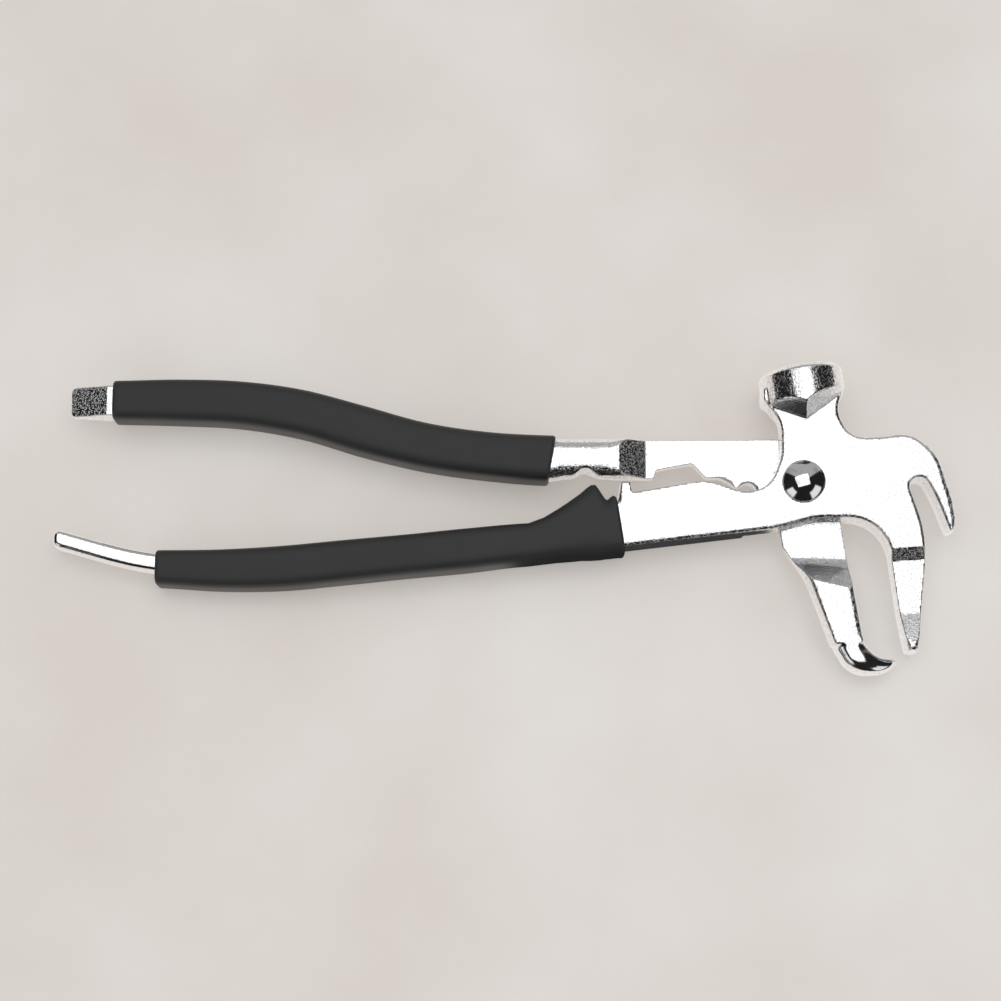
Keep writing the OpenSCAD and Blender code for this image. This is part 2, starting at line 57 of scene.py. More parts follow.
# %% Sizes that the pieces share
MM = 0.001
PIVOT = Vector(frame["joints"][0]["pos_m"])
HALF_T = 5.5  # half the thickness of a forging
EDGE_R = 1.2  # radius of a forged edge whose softness is 1
DRAFT = 0.35  # how far a side leans in on its way to the face
LAP_GAP = 0.1
PIN_R = 4
GRIP_WALL = 1.5
CORE_END_HALF = 4.2  # half the thickness of a handle's core at its far end
TAPER_START = 78  # distance from the rivet where the cores start to get thinner
CORE_SHORT = 1.8  # how far a core ends before the reach of its handle
SKIN_SHORT = 1.6  # how far a sleeve's skin ends before it, ahead of its lip


def in_frame(points):
    """Millimetres round the rivet, as metres in the model's frame."""
    return np.asarray(points, float) * MM + np.array(PIVOT)


def add_object(name, data):
    """An object of that name at the origin, in the scene."""
    made = bpy.data.objects.new(name, data)
    bpy.context.scene.collection.objects.link(made)
    return made


def write_attribute(mesh, name, values):
    """One number for each point, which a material or a node tree can read."""
    layer = mesh.attributes.new(name, "FLOAT", "POINT")
    layer.data.foreach_set("value", values.astype(np.float32))


print("the rivet stands at", [round(v, 5) for v in PIVOT])

# %% [markdown]
# ## Outlines
# A forging's outline is straight and curved stretches that meet in soft corners. It could be drawn
# point by point, but a designer gives the corners and a radius for each. So a corner here is
# (x, y, radius, softness), and softness says how round the forged edge is along that stretch.

# %% Corners with radii
ARC_STEP = math.radians(9)


def unit(vector):
    return vector / np.linalg.norm(vector)


def rounded(corners):
    """A closed outline of (x, y, softness), with an arc at each corner that has a radius."""
    outline = []
    count = len(corners)
    for i, (x, y, radius, soft) in enumerate(corners):
        p = np.array((x, y), float)
        if radius <= 0:
            outline.append((x, y, soft))
            continue
        u = unit(np.array(corners[i - 1][:2]) - p)
        v = unit(np.array(corners[(i + 1) % count][:2]) - p)
        half = math.acos(max(-1, min(1, float(u @ v)))) / 2
        middle = p + unit(u + v) * radius / math.sin(half)
        start = p + u * radius / math.tan(half) - middle
        end = p + v * radius / math.tan(half) - middle
        first = math.atan2(start[1], start[0])
        sweep = (math.atan2(end[1], end[0]) - first + 3 * math.pi) % (2 * math.pi) - math.pi
        steps = max(1, math.ceil(abs(sweep) / ARC_STEP))
        for k in range(steps + 1):
            a = first + sweep * k / steps
            on_arc = middle + radius * np.array((math.cos(a), math.sin(a)))
            outline.append((on_arc[0], on_arc[1], soft))
    return outline


bend = rounded([(0, 0, 0, 1), (20, 0, 5, 1), (20, 20, 0, 1)])
print("a square corner with a radius becomes", len(bend) - 2, "points")

# %% [markdown]
# A handle is given by the heights of its upper and lower edge at stations along its length, with
# a smooth curve through them. The solid's rows serve the steel cores, one wall further in. The
# sleeves have rows of their own, because dipped plastic clings closer than the solids do.

# %% Handle stations
def smooth(heights, u):
    """A smooth curve through evenly spaced heights, read at u from 0 to 1."""
    n = len(heights) - 1
    i = min(n - 1, int(u * n))
    t = u * n - i
    p0, p1, p2, p3 = (heights[max(0, min(n, i + k))] for k in (-1, 0, 1, 2))
    curve = p0 - 2.5 * p1 + 2 * p2 - p3 / 2
    twist = 1.5 * (p1 - p2) + (p3 - p0) / 2
    return p1 + t * ((p2 - p0) / 2 + t * (curve + t * twist))


def stations(start, end, tops, bottoms, steps=36):
    """Rows of (x, top, bottom) from x = -start to x = -end."""
    rows = []
    for k in range(steps + 1):
        u = k / steps
        rows.append((-start - (end - start) * u, smooth(tops, u), smooth(bottoms, u)))
    return rows


UPPER_REACH = 192.4
LOWER_REACH = 179.2
LOWER_START = 76
upper_stations = stations(
    69.5, UPPER_REACH,
    tops=[14.5, 15.1, 17.5, 22.4, 27.6, 30, 30.2, 29.5],
    bottoms=[-0.3, 0.9, 3.5, 7.6, 13.2, 16.3, 17, 17.2],
)
tooth_stations = [
    (-51.4, -3.6, -20.1), (-52.3, -4.1, -20.1), (-53.3, -4.6, -20.2), (-54.9, -3.4, -20.3),
    (-56.4, -0.8, -20.5), (-57.7, 0.1, -20.7), (-58.8, -0.2, -20.8), (-61.2, -1.9, -20.9),
    (-64.6, -4.6, -21.2), (-68.2, -7.2, -21.5), (-71.8, -9.2, -21.9),
]
lower_stations = tooth_stations + stations(
    LOWER_START, LOWER_REACH,
    tops=[-10.3, -11.9, -13.6, -15.4, -17, -18.2, -18.7],
    bottoms=[-22.3, -24.1, -26, -28, -29.6, -29.8, -28.5],
)

upper_skin = stations(
    70.2, UPPER_REACH - SKIN_SHORT,
    tops=[13.35, 14.4, 17.1, 22, 26.6, 28.95, 29.5, 29.15],
    bottoms=[0.45, 1.75, 4.2, 8.3, 13.5, 16.5, 17.4, 17.8],
)
tooth_skin = [
    (-51.4, -3.6, -20.1), (-52.3, -4.1, -20.1), (-53.1, -4.8, -20.2), (-53.8, -4.6, -20.3),
    (-54.6, -3.4, -20.4), (-55.7, -1.6, -20.5), (-56.6, -0.5, -20.7), (-57.9, -0.6, -20.8),
    (-59.2, -1.4, -20.9), (-61.4, -3.1, -20.9), (-64.3, -5, -21.2), (-68.2, -7.6, -21.5),
    (-71.8, -9.8, -21.9),
]
lower_skin = tooth_skin + stations(
    LOWER_START, LOWER_REACH - SKIN_SHORT,
    tops=[-11.4, -12.8, -14.5, -16, -17.6, -18.6, -18.8],
    bottoms=[-22.4, -24.4, -26, -27.8, -29.4, -29.6, -28.6],
)


def core_top(rows, soft=1):
    """Corners along the upper edge of a handle's core, out to its end."""
    return [(x, top - GRIP_WALL, 0, soft) for x, top, bottom in rows]


def core_bottom(rows, soft=1):
    """Corners along its lower edge, back from its end."""
    return [(x, bottom + GRIP_WALL, 0, soft) for x, top, bottom in reversed(rows)]


print(len(upper_stations), "stations above and", len(lower_stations), "below")

# %% [markdown]
# Both outlines run anticlockwise. They start with the lower edge of the handle's core, go round
# the head of the tool corner by corner, and come back along the core's upper edge. The first one
# passes the straight jaw, the claw, the hammer's neck and the wall of the crimping gap.

# %% Outline of the half with the hammer, the claw and the straight jaw
hammer_outline = rounded(core_bottom(lower_stations) + [
    (-7.5, -13.4, 22, 1),
    (3, -10.5, 14, 1),
    (22.3, -10, 11.5, 0.8),
    (25.6, -38, 60, 1),
    (27.2, -47.1, 1, 1.5),
    (30.4, -47.3, 1.2, 1.5),
    (31, -42, 0, 1),
    (33.5, -21, 24, 0.7),
    (32.9, -12, 30, 0.8),
    (28.8, 0.2, 2.3, 0.6),
    (33.4, 1.3, 2.1, 0.7),
    (36.5, -4.9, 30, 0.85),
    (39.8, -14.2, 0.6, 0.8),
    (41.3, -13.6, 0.8, 1),
    (42, -11, 8, 1.3),
    (41.5, -5.5, 16, 1.5),
    (37.1, 9, 13, 1.1),
    (29.6, 14.2, 9, 0.9),
    (21.5, 12.9, 30, 0.8),
    (13.2, 13, 6, 0.8),
    (10, 20.2, 7, 0.9),
    (12.2, 27, 0.8, 0.6),
    (-10.9, 27, 0.8, 0.4),
    (-10.9, 23.2, 1.5, 0.6),
    (-6.2, 17, 8, 0.8),
    (-6, 7.8, 10, 0.7),
    (-9.7, -2.4, 8, 0.4),
    (-17.5, -2.3, 9, 0.4),
    (-26.6, 1, 14, 0.4),
    (-47.1, -2.6, 0.6, 0.4),
    (-47.6, 0.4, 0.5, 0.4),
    (-50.6, 0.3, 0.6, 0.4),
] + core_top(lower_stations))
print("the first outline has", len(hammer_outline), "points")

# %% [markdown]
# The second outline passes the crimping notch, the scalloped cutter, the hook jaw and the disc
# round the rivet. The shank has much softer edges beside the sleeve, where it was only forged.

# %% Outline of the half with the hook jaw
SHANK_LOW = 1.8
SHANK_TOP = 12.7
hook_outline = rounded(core_bottom(upper_stations, 3) + [
    (-66.5, SHANK_LOW, 3, 3),
    (-55, SHANK_LOW, 0, 3),
    (-51.5, SHANK_LOW, 0, 1.9),
    (-42, SHANK_LOW, 1, 1),
    (-41, SHANK_LOW + 0.2, 0.5, 0.3),
    (-40.3, SHANK_LOW + 2.5, 1.2, 0.3),
    (-30.2, SHANK_LOW + 4.3, 1.5, 0.3),
    (-26.6, SHANK_LOW + 0.2, 1.5, 0.3),
    (-22.6, SHANK_LOW + 0.3, 3, 0.3),
    (-20.2, SHANK_LOW - 0.9, 3, 0.3),
    (-18.1, SHANK_LOW - 2.8, 0.4, 0.3),
    (-16.6, SHANK_LOW - 1.7, 1.5, 0.3),
    (-14.9, SHANK_LOW - 1.1, 1.5, 0.3),
    (-13.4, SHANK_LOW - 1.6, 1.5, 0.3),
    (-12.2, -1.6, 1, 0.4),
    (-9.4, -8.6, 4, 0.5),
    (-6.2, -13, 1.2, 0.5),
    (-5.6, -17.4, 2, 0.7),
    (0.6, -26.6, 20, 1),
    (7.3, -45.6, 1.4, 0.5),
    (15.7, -45.4, 1.4, 0.5),
    (15.2, -42, 0, 1.4),
    (12.6, -25, 40, 1.4),
    (10.6, -10.6, 4, 0.8),
    (13.3, -3, 8, 1),
    (12.5, 13.2, 12.3, 1.2),
    (-43, SHANK_TOP, 60, 1.2),
    (-51, SHANK_TOP, 0, 2.4),
    (-53.5, SHANK_TOP, 0, 3.2),
    (-66.8, SHANK_TOP, 3, 3.2),
] + core_top(upper_stations, 3.2))
print("the second outline has", len(hook_outline), "points")

# %% [markdown]
# ## Solids as distances
# A drop forging has no sharp edge: each face runs into the next over a small radius, and the radius
# changes along the outline. Booleans with a bevel after them tear on such shapes. So each half is
# written as a function that gives the distance to its surface, where a cut or a join can be rounded
# by any radius, and the surface is then laid where that distance is zero.

# %% Rules for joining distances
def round_and(a, b, radius):
    """Inside both, with the edge between them rounded."""
    corner = np.hypot(np.maximum(a + radius, 0), np.maximum(b + radius, 0))
    return np.minimum(np.maximum(a, b), -radius) + corner


def round_or(a, b, radius):
    """Inside either, with a fillet in the corner between them."""
    corner = np.hypot(np.maximum(radius - a, 0), np.maximum(radius - b, 0))
    return np.maximum(np.minimum(a, b), radius) - corner


def cut_away(body, tool, radius):
    """Inside the body and outside the tool, with the edge of the cut rounded."""
    return round_and(body, -tool, radius)


def blend_or(a, b, width):
    """Inside either, with a low smooth seam that is no wider than width."""
    near = np.maximum(width - np.abs(a - b), 0) / width
    return np.minimum(a, b) - near * near * width / 4


def outline_field(outline):
    """A function of (x, y) for the signed distance to the outline, and the softness there."""
    starts = np.array(outline)
    ends = np.roll(starts, -1, axis=0)

    def measure(x, y):
        best = np.full(np.broadcast(x, y).shape, 1e9)
        soft = np.ones(best.shape)
        inside = np.zeros(best.shape, bool)
        for (ax, ay, a_soft), (bx, by, b_soft) in zip(starts, ends):
            dx, dy = bx - ax, by - ay
            if dx * dx + dy * dy < 1e-12:
                continue
            along = np.clip(((x - ax) * dx + (y - ay) * dy) / (dx * dx + dy * dy), 0, 1)
            gap = np.hypot(x - ax - along * dx, y - ay - along * dy)
            nearer = gap < best
            best = np.where(nearer, gap, best)
            soft = np.where(nearer, a_soft + (b_soft - a_soft) * along, soft)
            if dy != 0:
                inside ^= ((ay > y) != (by > y)) & (x < ax + (y - ay) * dx / dy)
        return np.where(inside, -best, best), soft

    return measure


def forging(measure, x, y, z, half_h=HALF_T):
    """The distance to a forging of that outline: drafted sides and rounded edges."""
    side, soft = measure(x, y)
    lean = side + DRAFT * np.abs(z) / half_h
    return round_and(lean, np.abs(z) - half_h, EDGE_R * soft)


def above_profile(corners):
    """A function of (along, z): the distance above a profile of (along, height, radius) corners."""
    rows = np.array(rounded([(along, height, radius, 1) for along, height, radius in corners]))
    fall = np.gradient(rows[:, 1], rows[:, 0])

    def measure(along, z):
        steep = np.interp(along, rows[:, 0], fall)
        return (z - np.interp(along, rows[:, 0], rows[:, 1])) / np.hypot(1, steep)

    return measure


sharp = round(float(round_and(0.0, 0.0, EDGE_R)), 2)
print("rounding by", EDGE_R, "mm takes", sharp, "mm off a square edge, measured across it")

# %% [markdown]
# ## From a distance to a mesh
# Blender's Remesh modifier works on a mesh, and not on a function, so the mesh is laid here. Space
# is cut into small cubes, each cube that the surface crosses gets one vertex, and neighbours are
# joined by quads. Each vertex is then moved onto the surface itself, and the true slope of the
# surface there becomes its normal, which is what keeps the reflections in the plating calm. A
# form that bends as tightly as the hook's horn still shows its cubes, so it is levelled out after.

# %% A skin over a distance function
def gradient(field, points, step=0.02):
    """The slope of the field at each point, from four samples round it."""
    corners = np.array([(1, -1, -1), (-1, -1, 1), (-1, 1, -1), (1, 1, 1)], float)
    total = np.zeros(points.shape)
    for corner in corners:
        total += corner * field(*(points + corner * step).T)[:, None]
    return total / (4 * step)


SNAP_ROUNDS = 3
LEAST_SLOPE = 0.05  # keeps a vertex in place where the field has no clear slope


def skin(field, low, high, cell):
    """Vertices, quads and normals of the surface where the field is zero, in millimetres."""
    axes = [np.arange(a, b + cell, cell) for a, b in zip(low, high)]
    grid = axes[0][:, None, None], axes[1][None, :, None], axes[2][None, None, :]
    values = np.broadcast_to(field(*grid), [len(a) for a in axes])
    sizes = np.array(values.shape)
    quads, places = [], []
    # An edge of the grid that the surface crosses gives a quad, from the four cubes round it.
    for axis in range(3):
        near = np.take(values, range(sizes[axis] - 1), axis)
        far = np.take(values, range(1, sizes[axis]), axis)
        crossed = (near < 0) != (far < 0)
        index = np.argwhere(crossed)
        near, far = near[crossed], far[crossed]
        point = index.astype(float)
        point[:, axis] += near / (near - far)
        one, other = (axis + 1) % 3, (axis + 2) % 3
        ring = []
        for back, aside in ((-1, -1), (0, -1), (0, 0), (-1, 0)):
            cube = index.copy()
            cube[:, one] += back
            cube[:, other] += aside
            ring.append((cube[:, 0] * sizes[1] + cube[:, 1]) * sizes[2] + cube[:, 2])
        ring = np.stack(ring, 1)
        ring[near > 0] = ring[near > 0][:, ::-1]
        quads.append(ring)
        places.append(np.repeat(point, 4, axis=0))
    quads = np.concatenate(quads)
    places = np.concatenate(places)
    # The vertex of a cube starts in the middle of the crossings on its edges.
    used, number = np.unique(quads.ravel(), return_inverse=True)
    number = number.ravel()
    sums = np.stack([np.bincount(number, places[:, k], len(used)) for k in range(3)], 1)
    points = sums / np.bincount(number, minlength=len(used))[:, None] * cell + np.array(low)
    # It then slides down the slope of the field, onto the surface.
    for _ in range(SNAP_ROUNDS):
        slope = gradient(field, points)
        squared = np.maximum((slope * slope).sum(1), LEAST_SLOPE)
        move = slope * (field(*points.T) / squared)[:, None]
        points -= np.clip(move, -cell, cell)
    normals = gradient(field, points)
    normals /= np.maximum(np.linalg.norm(normals, axis=1), 1e-9)[:, None]
    return points, number.reshape(-1, 4), normals


LEVEL_PULLS = (0.6, -0.62)  # the push back keeps a form from shrinking


def polished(points, quads, normals, share, rounds):
    """Level points and normals out with their neighbours', as a polishing wheel does."""
    corners = quads.ravel()
    count = np.bincount(corners, minlength=len(points))[:, None]

    def average(values):
        middle = np.repeat(values[quads].mean(1), 4, axis=0)
        sums = [np.bincount(corners, middle[:, k], len(points)) for k in range(3)]
        return np.stack(sums, 1) / count

    for _ in range(rounds):
        for pull in LEVEL_PULLS:
            points = points + pull * share * (average(points) - points)
        normals = normals + share * (average(normals) - normals)
    return points, normals / np.maximum(np.linalg.norm(normals, axis=1), 1e-9)[:, None]


ball = skin(lambda x, y, z: np.sqrt(x * x + y * y + z * z) - 3, (-4, -4, -4), (4, 4, 4), 0.8)
print("a test ball 6 mm wide has", len(ball[0]), "vertices and", len(ball[1]), "quads")

# %% [markdown]
# The forging's grain isn't the same all over. It is deep where the metal was left as struck, and
# shallow where it was ground, turned or polished. The material can't know which is which, so the
# depth is written on each point: level faces are ground, and the pieces say what else they are.

# %% A forged piece and the depth of its grain
RAW_DEPTH = 0.06
GROUND_DEPTH = 0.02
TURNED_DEPTH = 0.032
POLISHED_DEPTH = 0.004
LEVEL_FROM, LEVEL_SPAN = 0.97, 0.027
BELONGS = 0.3  # a point of the skin is this near to the form that it belongs to
CELL = 0.45


def skinned_piece(name, field, low, high, deepest, polish_rounds=0):
    """A mesh of the field, whose points carry the depth of their grain."""
    points, quads, normals = skin(field, low, high, CELL)
    buffed = deepest(*points.T) == POLISHED_DEPTH
    points, normals = polished(points, quads, normals, buffed[:, None], polish_rounds)
    mesh = bpy.data.meshes.new(name)
    mesh.from_pydata(in_frame(points).tolist(), [], quads.tolist())
    mesh.shade_smooth()
    mesh.normals_split_custom_set_from_vertices(normals.tolist())
    level = np.clip((np.abs(normals[:, 2]) - LEVEL_FROM) / LEVEL_SPAN, 0, 1)
    depth = RAW_DEPTH + (GROUND_DEPTH - RAW_DEPTH) * level
    write_attribute(mesh, "grain_depth", np.minimum(depth, deepest(*points.T)) * MM)
    print(name, "has", len(points), "vertices and", 2 * len(quads), "triangles")
    return add_object(name, mesh)


print("cells are", CELL, "mm wide, and grain is", POLISHED_DEPTH, "to", RAW_DEPTH, "mm deep")

# %% [markdown]
# ## The half with the hammer
# One flat forging carries the straight jaw, the claw, the crimping tooth and the lower handle. The
# hammer's poll is round, and under it a keel with two slanting facets runs down into the neck. The
# back of the half is milled away round the rivet, where the other half's plate turns.

# %% Distances of the half with the hammer
HAMMER_R = 11.7
HAMMER_REACH = 32.8
HAMMER_LEAN = math.radians(8.5)
HAMMER_SHIFT = 5  # x where the poll's axis crosses the rivet's level
FACE_CHAMFER = 1.2
POLL_FOOT = 14
KEEL_RISE = 0.53  # rise of the keel's facets for each millimetre outwards
KEEL_FOOT = 15.6
KEEL_OFFSET = -1.2
OPEN_ANGLE = math.radians(frame["joints"][0]["range_deg"][1])
STOP_ANGLE = OPEN_ANGLE + math.radians(1)
SWEEP_GAP = 0.5  # room that the other half has while it turns
SHANK_FOOT = -0.8
LAP_R = 13.1  # radius of the other half's disc
FAR = 100
FACE_EDGE, KEEL_EDGE, POLL_EDGE = 0.3, 0.6, 0.5

measure_hammer = outline_field(hammer_outline)
measure_poll_plan = outline_field(rounded([
    (-6.4, POLL_FOOT, 0, 1), (9.6, POLL_FOOT, 0, 1), (9.8, 20.2, 7, 1), (12.4, 27.2, 2, 1),
    (18, 29, 0, 1), (12, 50, 0, 1), (-20, 50, 0, 1), (-16, 31, 0, 1), (-11.4, 23.5, 2, 1),
    (-7.2, 17.8, 6, 1),
]))


def turned(x, y, angle):
    """The point turned anticlockwise round the rivet."""
    return x * math.cos(angle) - y * math.sin(angle), x * math.sin(angle) + y * math.cos(angle)


def poll(x, y, z):
    """The round poll, its chamfered face and the keel under it."""
    across, along = turned(x - HAMMER_SHIFT, y, -HAMMER_LEAN)
    barrel = np.hypot(across, z) - HAMMER_R
    face = along - HAMMER_REACH
    head = round_and(barrel, face, FACE_EDGE)
    chamfer = (barrel + face + FACE_CHAMFER) / math.sqrt(2)
    head = round_and(head, chamfer, FACE_EDGE)
    diamond = np.abs(across - KEEL_OFFSET) + np.abs(z) - (along - KEEL_FOOT) / KEEL_RISE
    head = round_and(head, diamond / math.sqrt(2 + KEEL_RISE ** -2), KEEL_EDGE)
    plan, _ = measure_poll_plan(x, y)
    return round_and(head, plan, POLL_EDGE)


def back_recess(x, y, z):
    """Where the other half's lap plate lies while the handles open, and how deep it is."""
    disc = np.hypot(x, y) - LAP_R - SWEEP_GAP
    shank, _ = measure_sweep_shank(x, y)
    root, _ = measure_sweep_root(x, y)
    return np.maximum(np.minimum(disc, np.minimum(shank, root)), z - LAP_GAP / 2)


def sweep_corner(x, y):
    """Where a corner of the other half is when the handles are fully open."""
    return (*turned(x, y, -STOP_ANGLE), 0, 1)


measure_sweep_shank = outline_field(rounded([
    sweep_corner(0, LAP_R + SWEEP_GAP), sweep_corner(-FAR, LAP_R + SWEEP_GAP),
    (-FAR, SHANK_FOOT, 0, 1), (0, SHANK_FOOT, 0, 1),
]))
measure_sweep_root = outline_field(rounded([
    (0, 0, 0, 1), sweep_corner(-10.4, -8.1), sweep_corner(-6.7, -12.5), sweep_corner(-6.1, -20),
    sweep_corner(-6.1, -33), (13.1, -30.2, 0, 1), (11.6, -10.6, 0, 1),
    (LAP_R + SWEEP_GAP, -2.6, 0, 1),
]))
print("the recess is cut for", round(math.degrees(STOP_ANGLE), 1), "degrees of opening")

# %% [markdown]
# The straight jaw is stepped down in front, and its toe rises again to a blunt nose, so its front
# is one profile along the jaw. The pry tail is a thin bar that comes out of the core and curls up
# to its tip. The whole half is these forms joined, less the recess and the hole for the rivet.

# %% Straight jaw, pry tail and the whole half
STEP_TURN = math.radians(4)
STEP_Y = -20.1
STEP_FOOT, STEP_TOP = 2.9, 20
JAW_FRONT = above_profile([
    (-70, 3.4, 0), (-49.9, 3.4, 0.6), (-48.3, 5.2, 0.8), (-47.1, 5.2, 3), (-37.9, STEP_FOOT, 5),
    (STEP_Y - 3.4, STEP_FOOT, 0.4), (STEP_Y + 19, STEP_TOP, 0),
])
PRY_LEN = 28
PRY_STEPS = 20
TAIL_DEPTH = 9
PRY_Y = (-18.7 - 28.5) / 2
PRY_RISES = [0.4, 1.2, 2.4, 4.2, 6.3, 8.2]
PRY_HALF_W = 2.75
PRY_HALF_T = CORE_END_HALF - 0.2
CORE_EDGE, CORE_END_EDGE, JAW_EDGE, CUT_EDGE = 1, 0.5, 0.25, 0.15


def jaw_front(x, y, z):
    """The distance above the straight jaw's front."""
    _, along = turned(x, y, -STEP_TURN)
    return JAW_FRONT(along, z)


def taper(x, end):
    """Half the thickness of a handle core, which gets thinner towards its end."""
    share = np.clip((-x - TAPER_START) / (end - TAPER_START), 0, 1)
    return HALF_T + (CORE_END_HALF - HALF_T) * share


def pry_middle(k):
    """A point of the pry tail's middle line, from inside the core to the tip."""
    root = TAIL_DEPTH - LOWER_REACH
    run = PRY_LEN + TAIL_DEPTH
    return root - run * k / PRY_STEPS, PRY_Y + smooth(PRY_RISES, k / PRY_STEPS)


pry_line = [pry_middle(k) for k in range(PRY_STEPS)]
tip_x, tip_y = pry_middle(PRY_STEPS)
measure_pry = outline_field(rounded(
    [(x, y - PRY_HALF_W, 0, 1) for x, y in reversed(pry_line)]
    + [(x, y + PRY_HALF_W, 0, 1) for x, y in pry_line]
    + [(tip_x, tip_y + 2.4, 2.1, 1), (tip_x, tip_y - 2.2, 2.1, 1)]
))


def hammer_half_field(x, y, z):
    """The distance to the whole half."""
    body = forging(measure_hammer, x, y, z)
    body = round_and(body, np.abs(z) - taper(x, LOWER_REACH), CORE_EDGE)
    body = round_and(body, CORE_SHORT - LOWER_REACH - x, CORE_END_EDGE)
    stepped = round_and(body, jaw_front(x, y, z), JAW_EDGE)
    body = np.where(y < STEP_Y + 5, stepped, body)
    body = round_or(body, poll(x, y, z), POLL_EDGE)
    body = np.minimum(body, forging(measure_pry, x, y, z, PRY_HALF_T))
    body = cut_away(body, back_recess(x, y, z), CUT_EDGE)
    return cut_away(body, np.hypot(x, y) - PIN_R, CUT_EDGE)


def hammer_grain(x, y, z):
    """The pry tail is polished, and the poll is turned finer than the rest."""
    on_tail = measure_pry(x, y)[0] < BELONGS
    return np.where(on_tail, POLISHED_DEPTH, np.where(y > POLL_FOOT, TURNED_DEPTH, RAW_DEPTH))


hammer_half = skinned_piece(
    "hammer_half_forged", hammer_half_field, (-209, -49.5, -12.6), (43.5, 36.5, 12.6), hammer_grain
)

# %% [markdown]
# ## The half with the hook
# Its plate is lapped at the rivet: two ramps lead from the full thickness down to half of it. The
# jaw ends in a round horn that turns towards the straight jaw, and the handle ends in a
# screwdriver's blade. The horn is the hard part. It could be a chain of balls, which stays lumpy
# in a mirror, so it is one section that shrinks along a path of 160 short steps.

# %% The horn, by its path and its section
horn_x = [11.5, 12.4, 13.2, 14.2, 15.5, 17.3, 19.1, 20.9, 22.5, 23.8, 24.5]
horn_y = [-45, -46.4, -47.7, -48.7, -49.6, -50.2, -50.6, -50.5, -50.1, -49.6, -49.3]
horn_half_w = [3.9, 3.9, 4, 3.85, 3.5, 2.9, 2.4, 1.95, 1.4, 0.8, 0.35]
horn_half_h = [5.3, 5.4, 5.5, 5.5, 5.3, 4.8, 4.1, 3.2, 2.3, 1.4, 0.6]
HORN_STEPS = 160
HORN_POWER = 3.2  # 2 is an ellipse, and more is squarer
HORN_TOP = 0.92
CREASE_AT, CREASE_W, CREASE_DEPTH = 0.25, 0.02, 0.16
horn_at = np.arange(HORN_STEPS + 1) / HORN_STEPS
horn_rows = (horn_x, horn_y, horn_half_w, horn_half_h)
horn_path = np.array([[smooth(row, u) for row in horn_rows] for u in horn_at])
horn_path[:, 3] -= CREASE_DEPTH * np.exp(-((horn_at - CREASE_AT) / CREASE_W) ** 2)


def horn(x, y, z):
    """A tapering beak along its path, higher than it is wide."""
    nearest = np.full(np.broadcast(x, y).shape, 1e9)
    half_w = np.ones(nearest.shape)
    half_h = np.ones(nearest.shape)
    for a, b in zip(horn_path[:-1], horn_path[1:]):
        d = b[:2] - a[:2]
        along = np.clip(((x - a[0]) * d[0] + (y - a[1]) * d[1]) / (d @ d), 0, 1)
        wide = a[2] + (b[2] - a[2]) * along
        ratio = np.hypot(x - a[0] - along * d[0], y - a[1] - along * d[1]) / wide
        nearer = ratio < nearest
        nearest = np.where(nearer, ratio, nearest)
        half_w = np.where(nearer, wide, half_w)
        half_h = np.where(nearer, a[3] + (b[3] - a[3]) * along, half_h)
    rise = np.abs(z) / (half_h * np.where(z > 0, HORN_TOP, 1))
    return ((nearest ** HORN_POWER + rise ** HORN_POWER) ** (1 / HORN_POWER) - 1) * half_w


horn_length = np.hypot(*np.diff(horn_path[:, :2], axis=0).T).sum()
print("the horn is", round(float(horn_length), 1), "mm long along its path")

# %% [markdown]
# The rest of this half is cut from its forging: the space in front of the lap plate with a ramp
# at each end, the ground edge of the scalloped cutter, the crimping notch and the rivet's hole.
# The blade is a bar that two slanting faces make into a wedge.

# %% Distances of the half with the hook
RAMP_FOOT = -43.3
RAMP_LEN = 7.8
JAW_RAMP_FOOT = (-21.56, -0.016)  # height at x = 0, and rise with x
JAW_RAMP_TOP = (-27.06, -0.244)
JAW_RAMP_SIDES = (-8, 16)
RAMP_FILLET = 1.2
SCALLOPS = ((-22.6, -2.2, 4.5), (-14.9, -2.1, 3.2))  # x, y and radius
BLADE_LEN = 11.4
BLADE_HALF_W = 4.3
BLADE_TIP_HALF = 0.8
BLADE_ROOT_HALF = CORE_END_HALF - 0.4
BLADE_FLAT = 1
BLADE_CORNER, BLADE_EDGE = 1.6, 0.3
BLADE_Y = (29.5 + 17.2) / 2
HOLE_PLAY = 0.05
HORN_SEAM, NOTCH_EDGE, LAP_EDGE, SCALLOP_EDGE = 0.5, 0.6, 0.2, 0.1
HORN_POLISH = 12

measure_hook = outline_field(hook_outline)
measure_notch = outline_field(rounded([
    (-66, -2, 0, 1), (-54, -2, 0, 1), (-54, SHANK_LOW, 0, 1), (-56.1, SHANK_LOW, 1, 1),
    (-60.4, SHANK_LOW + 2.7, 2.2, 1), (-63.9, SHANK_LOW, 1, 1), (-66, SHANK_LOW, 0, 1),
]))


def lap_front(x, y, z):
    """The space in front of the lap plate, between the two ramps."""
    handle_rise = HALF_T / RAMP_LEN
    handle = -(z + LAP_GAP / 2 + (x - RAMP_FOOT) * handle_rise) / math.hypot(1, handle_rise)
    beside = np.clip(x, *JAW_RAMP_SIDES)
    foot = JAW_RAMP_FOOT[0] + JAW_RAMP_FOOT[1] * beside
    jaw_rise = HALF_T / (foot - JAW_RAMP_TOP[0] - JAW_RAMP_TOP[1] * beside)
    jaw = -(z + LAP_GAP / 2 + (y - foot) * jaw_rise) / np.hypot(1, jaw_rise)
    return np.maximum(handle, round_and(-z - LAP_GAP / 2, jaw, RAMP_FILLET))


def scallop_edge(x, y, z):
    """The cones that grind the front edge of each scallop back."""
    cones = [np.hypot(x - sx, y - sy) - radius - z for sx, sy, radius in SCALLOPS]
    return np.minimum(*cones) / math.sqrt(2)


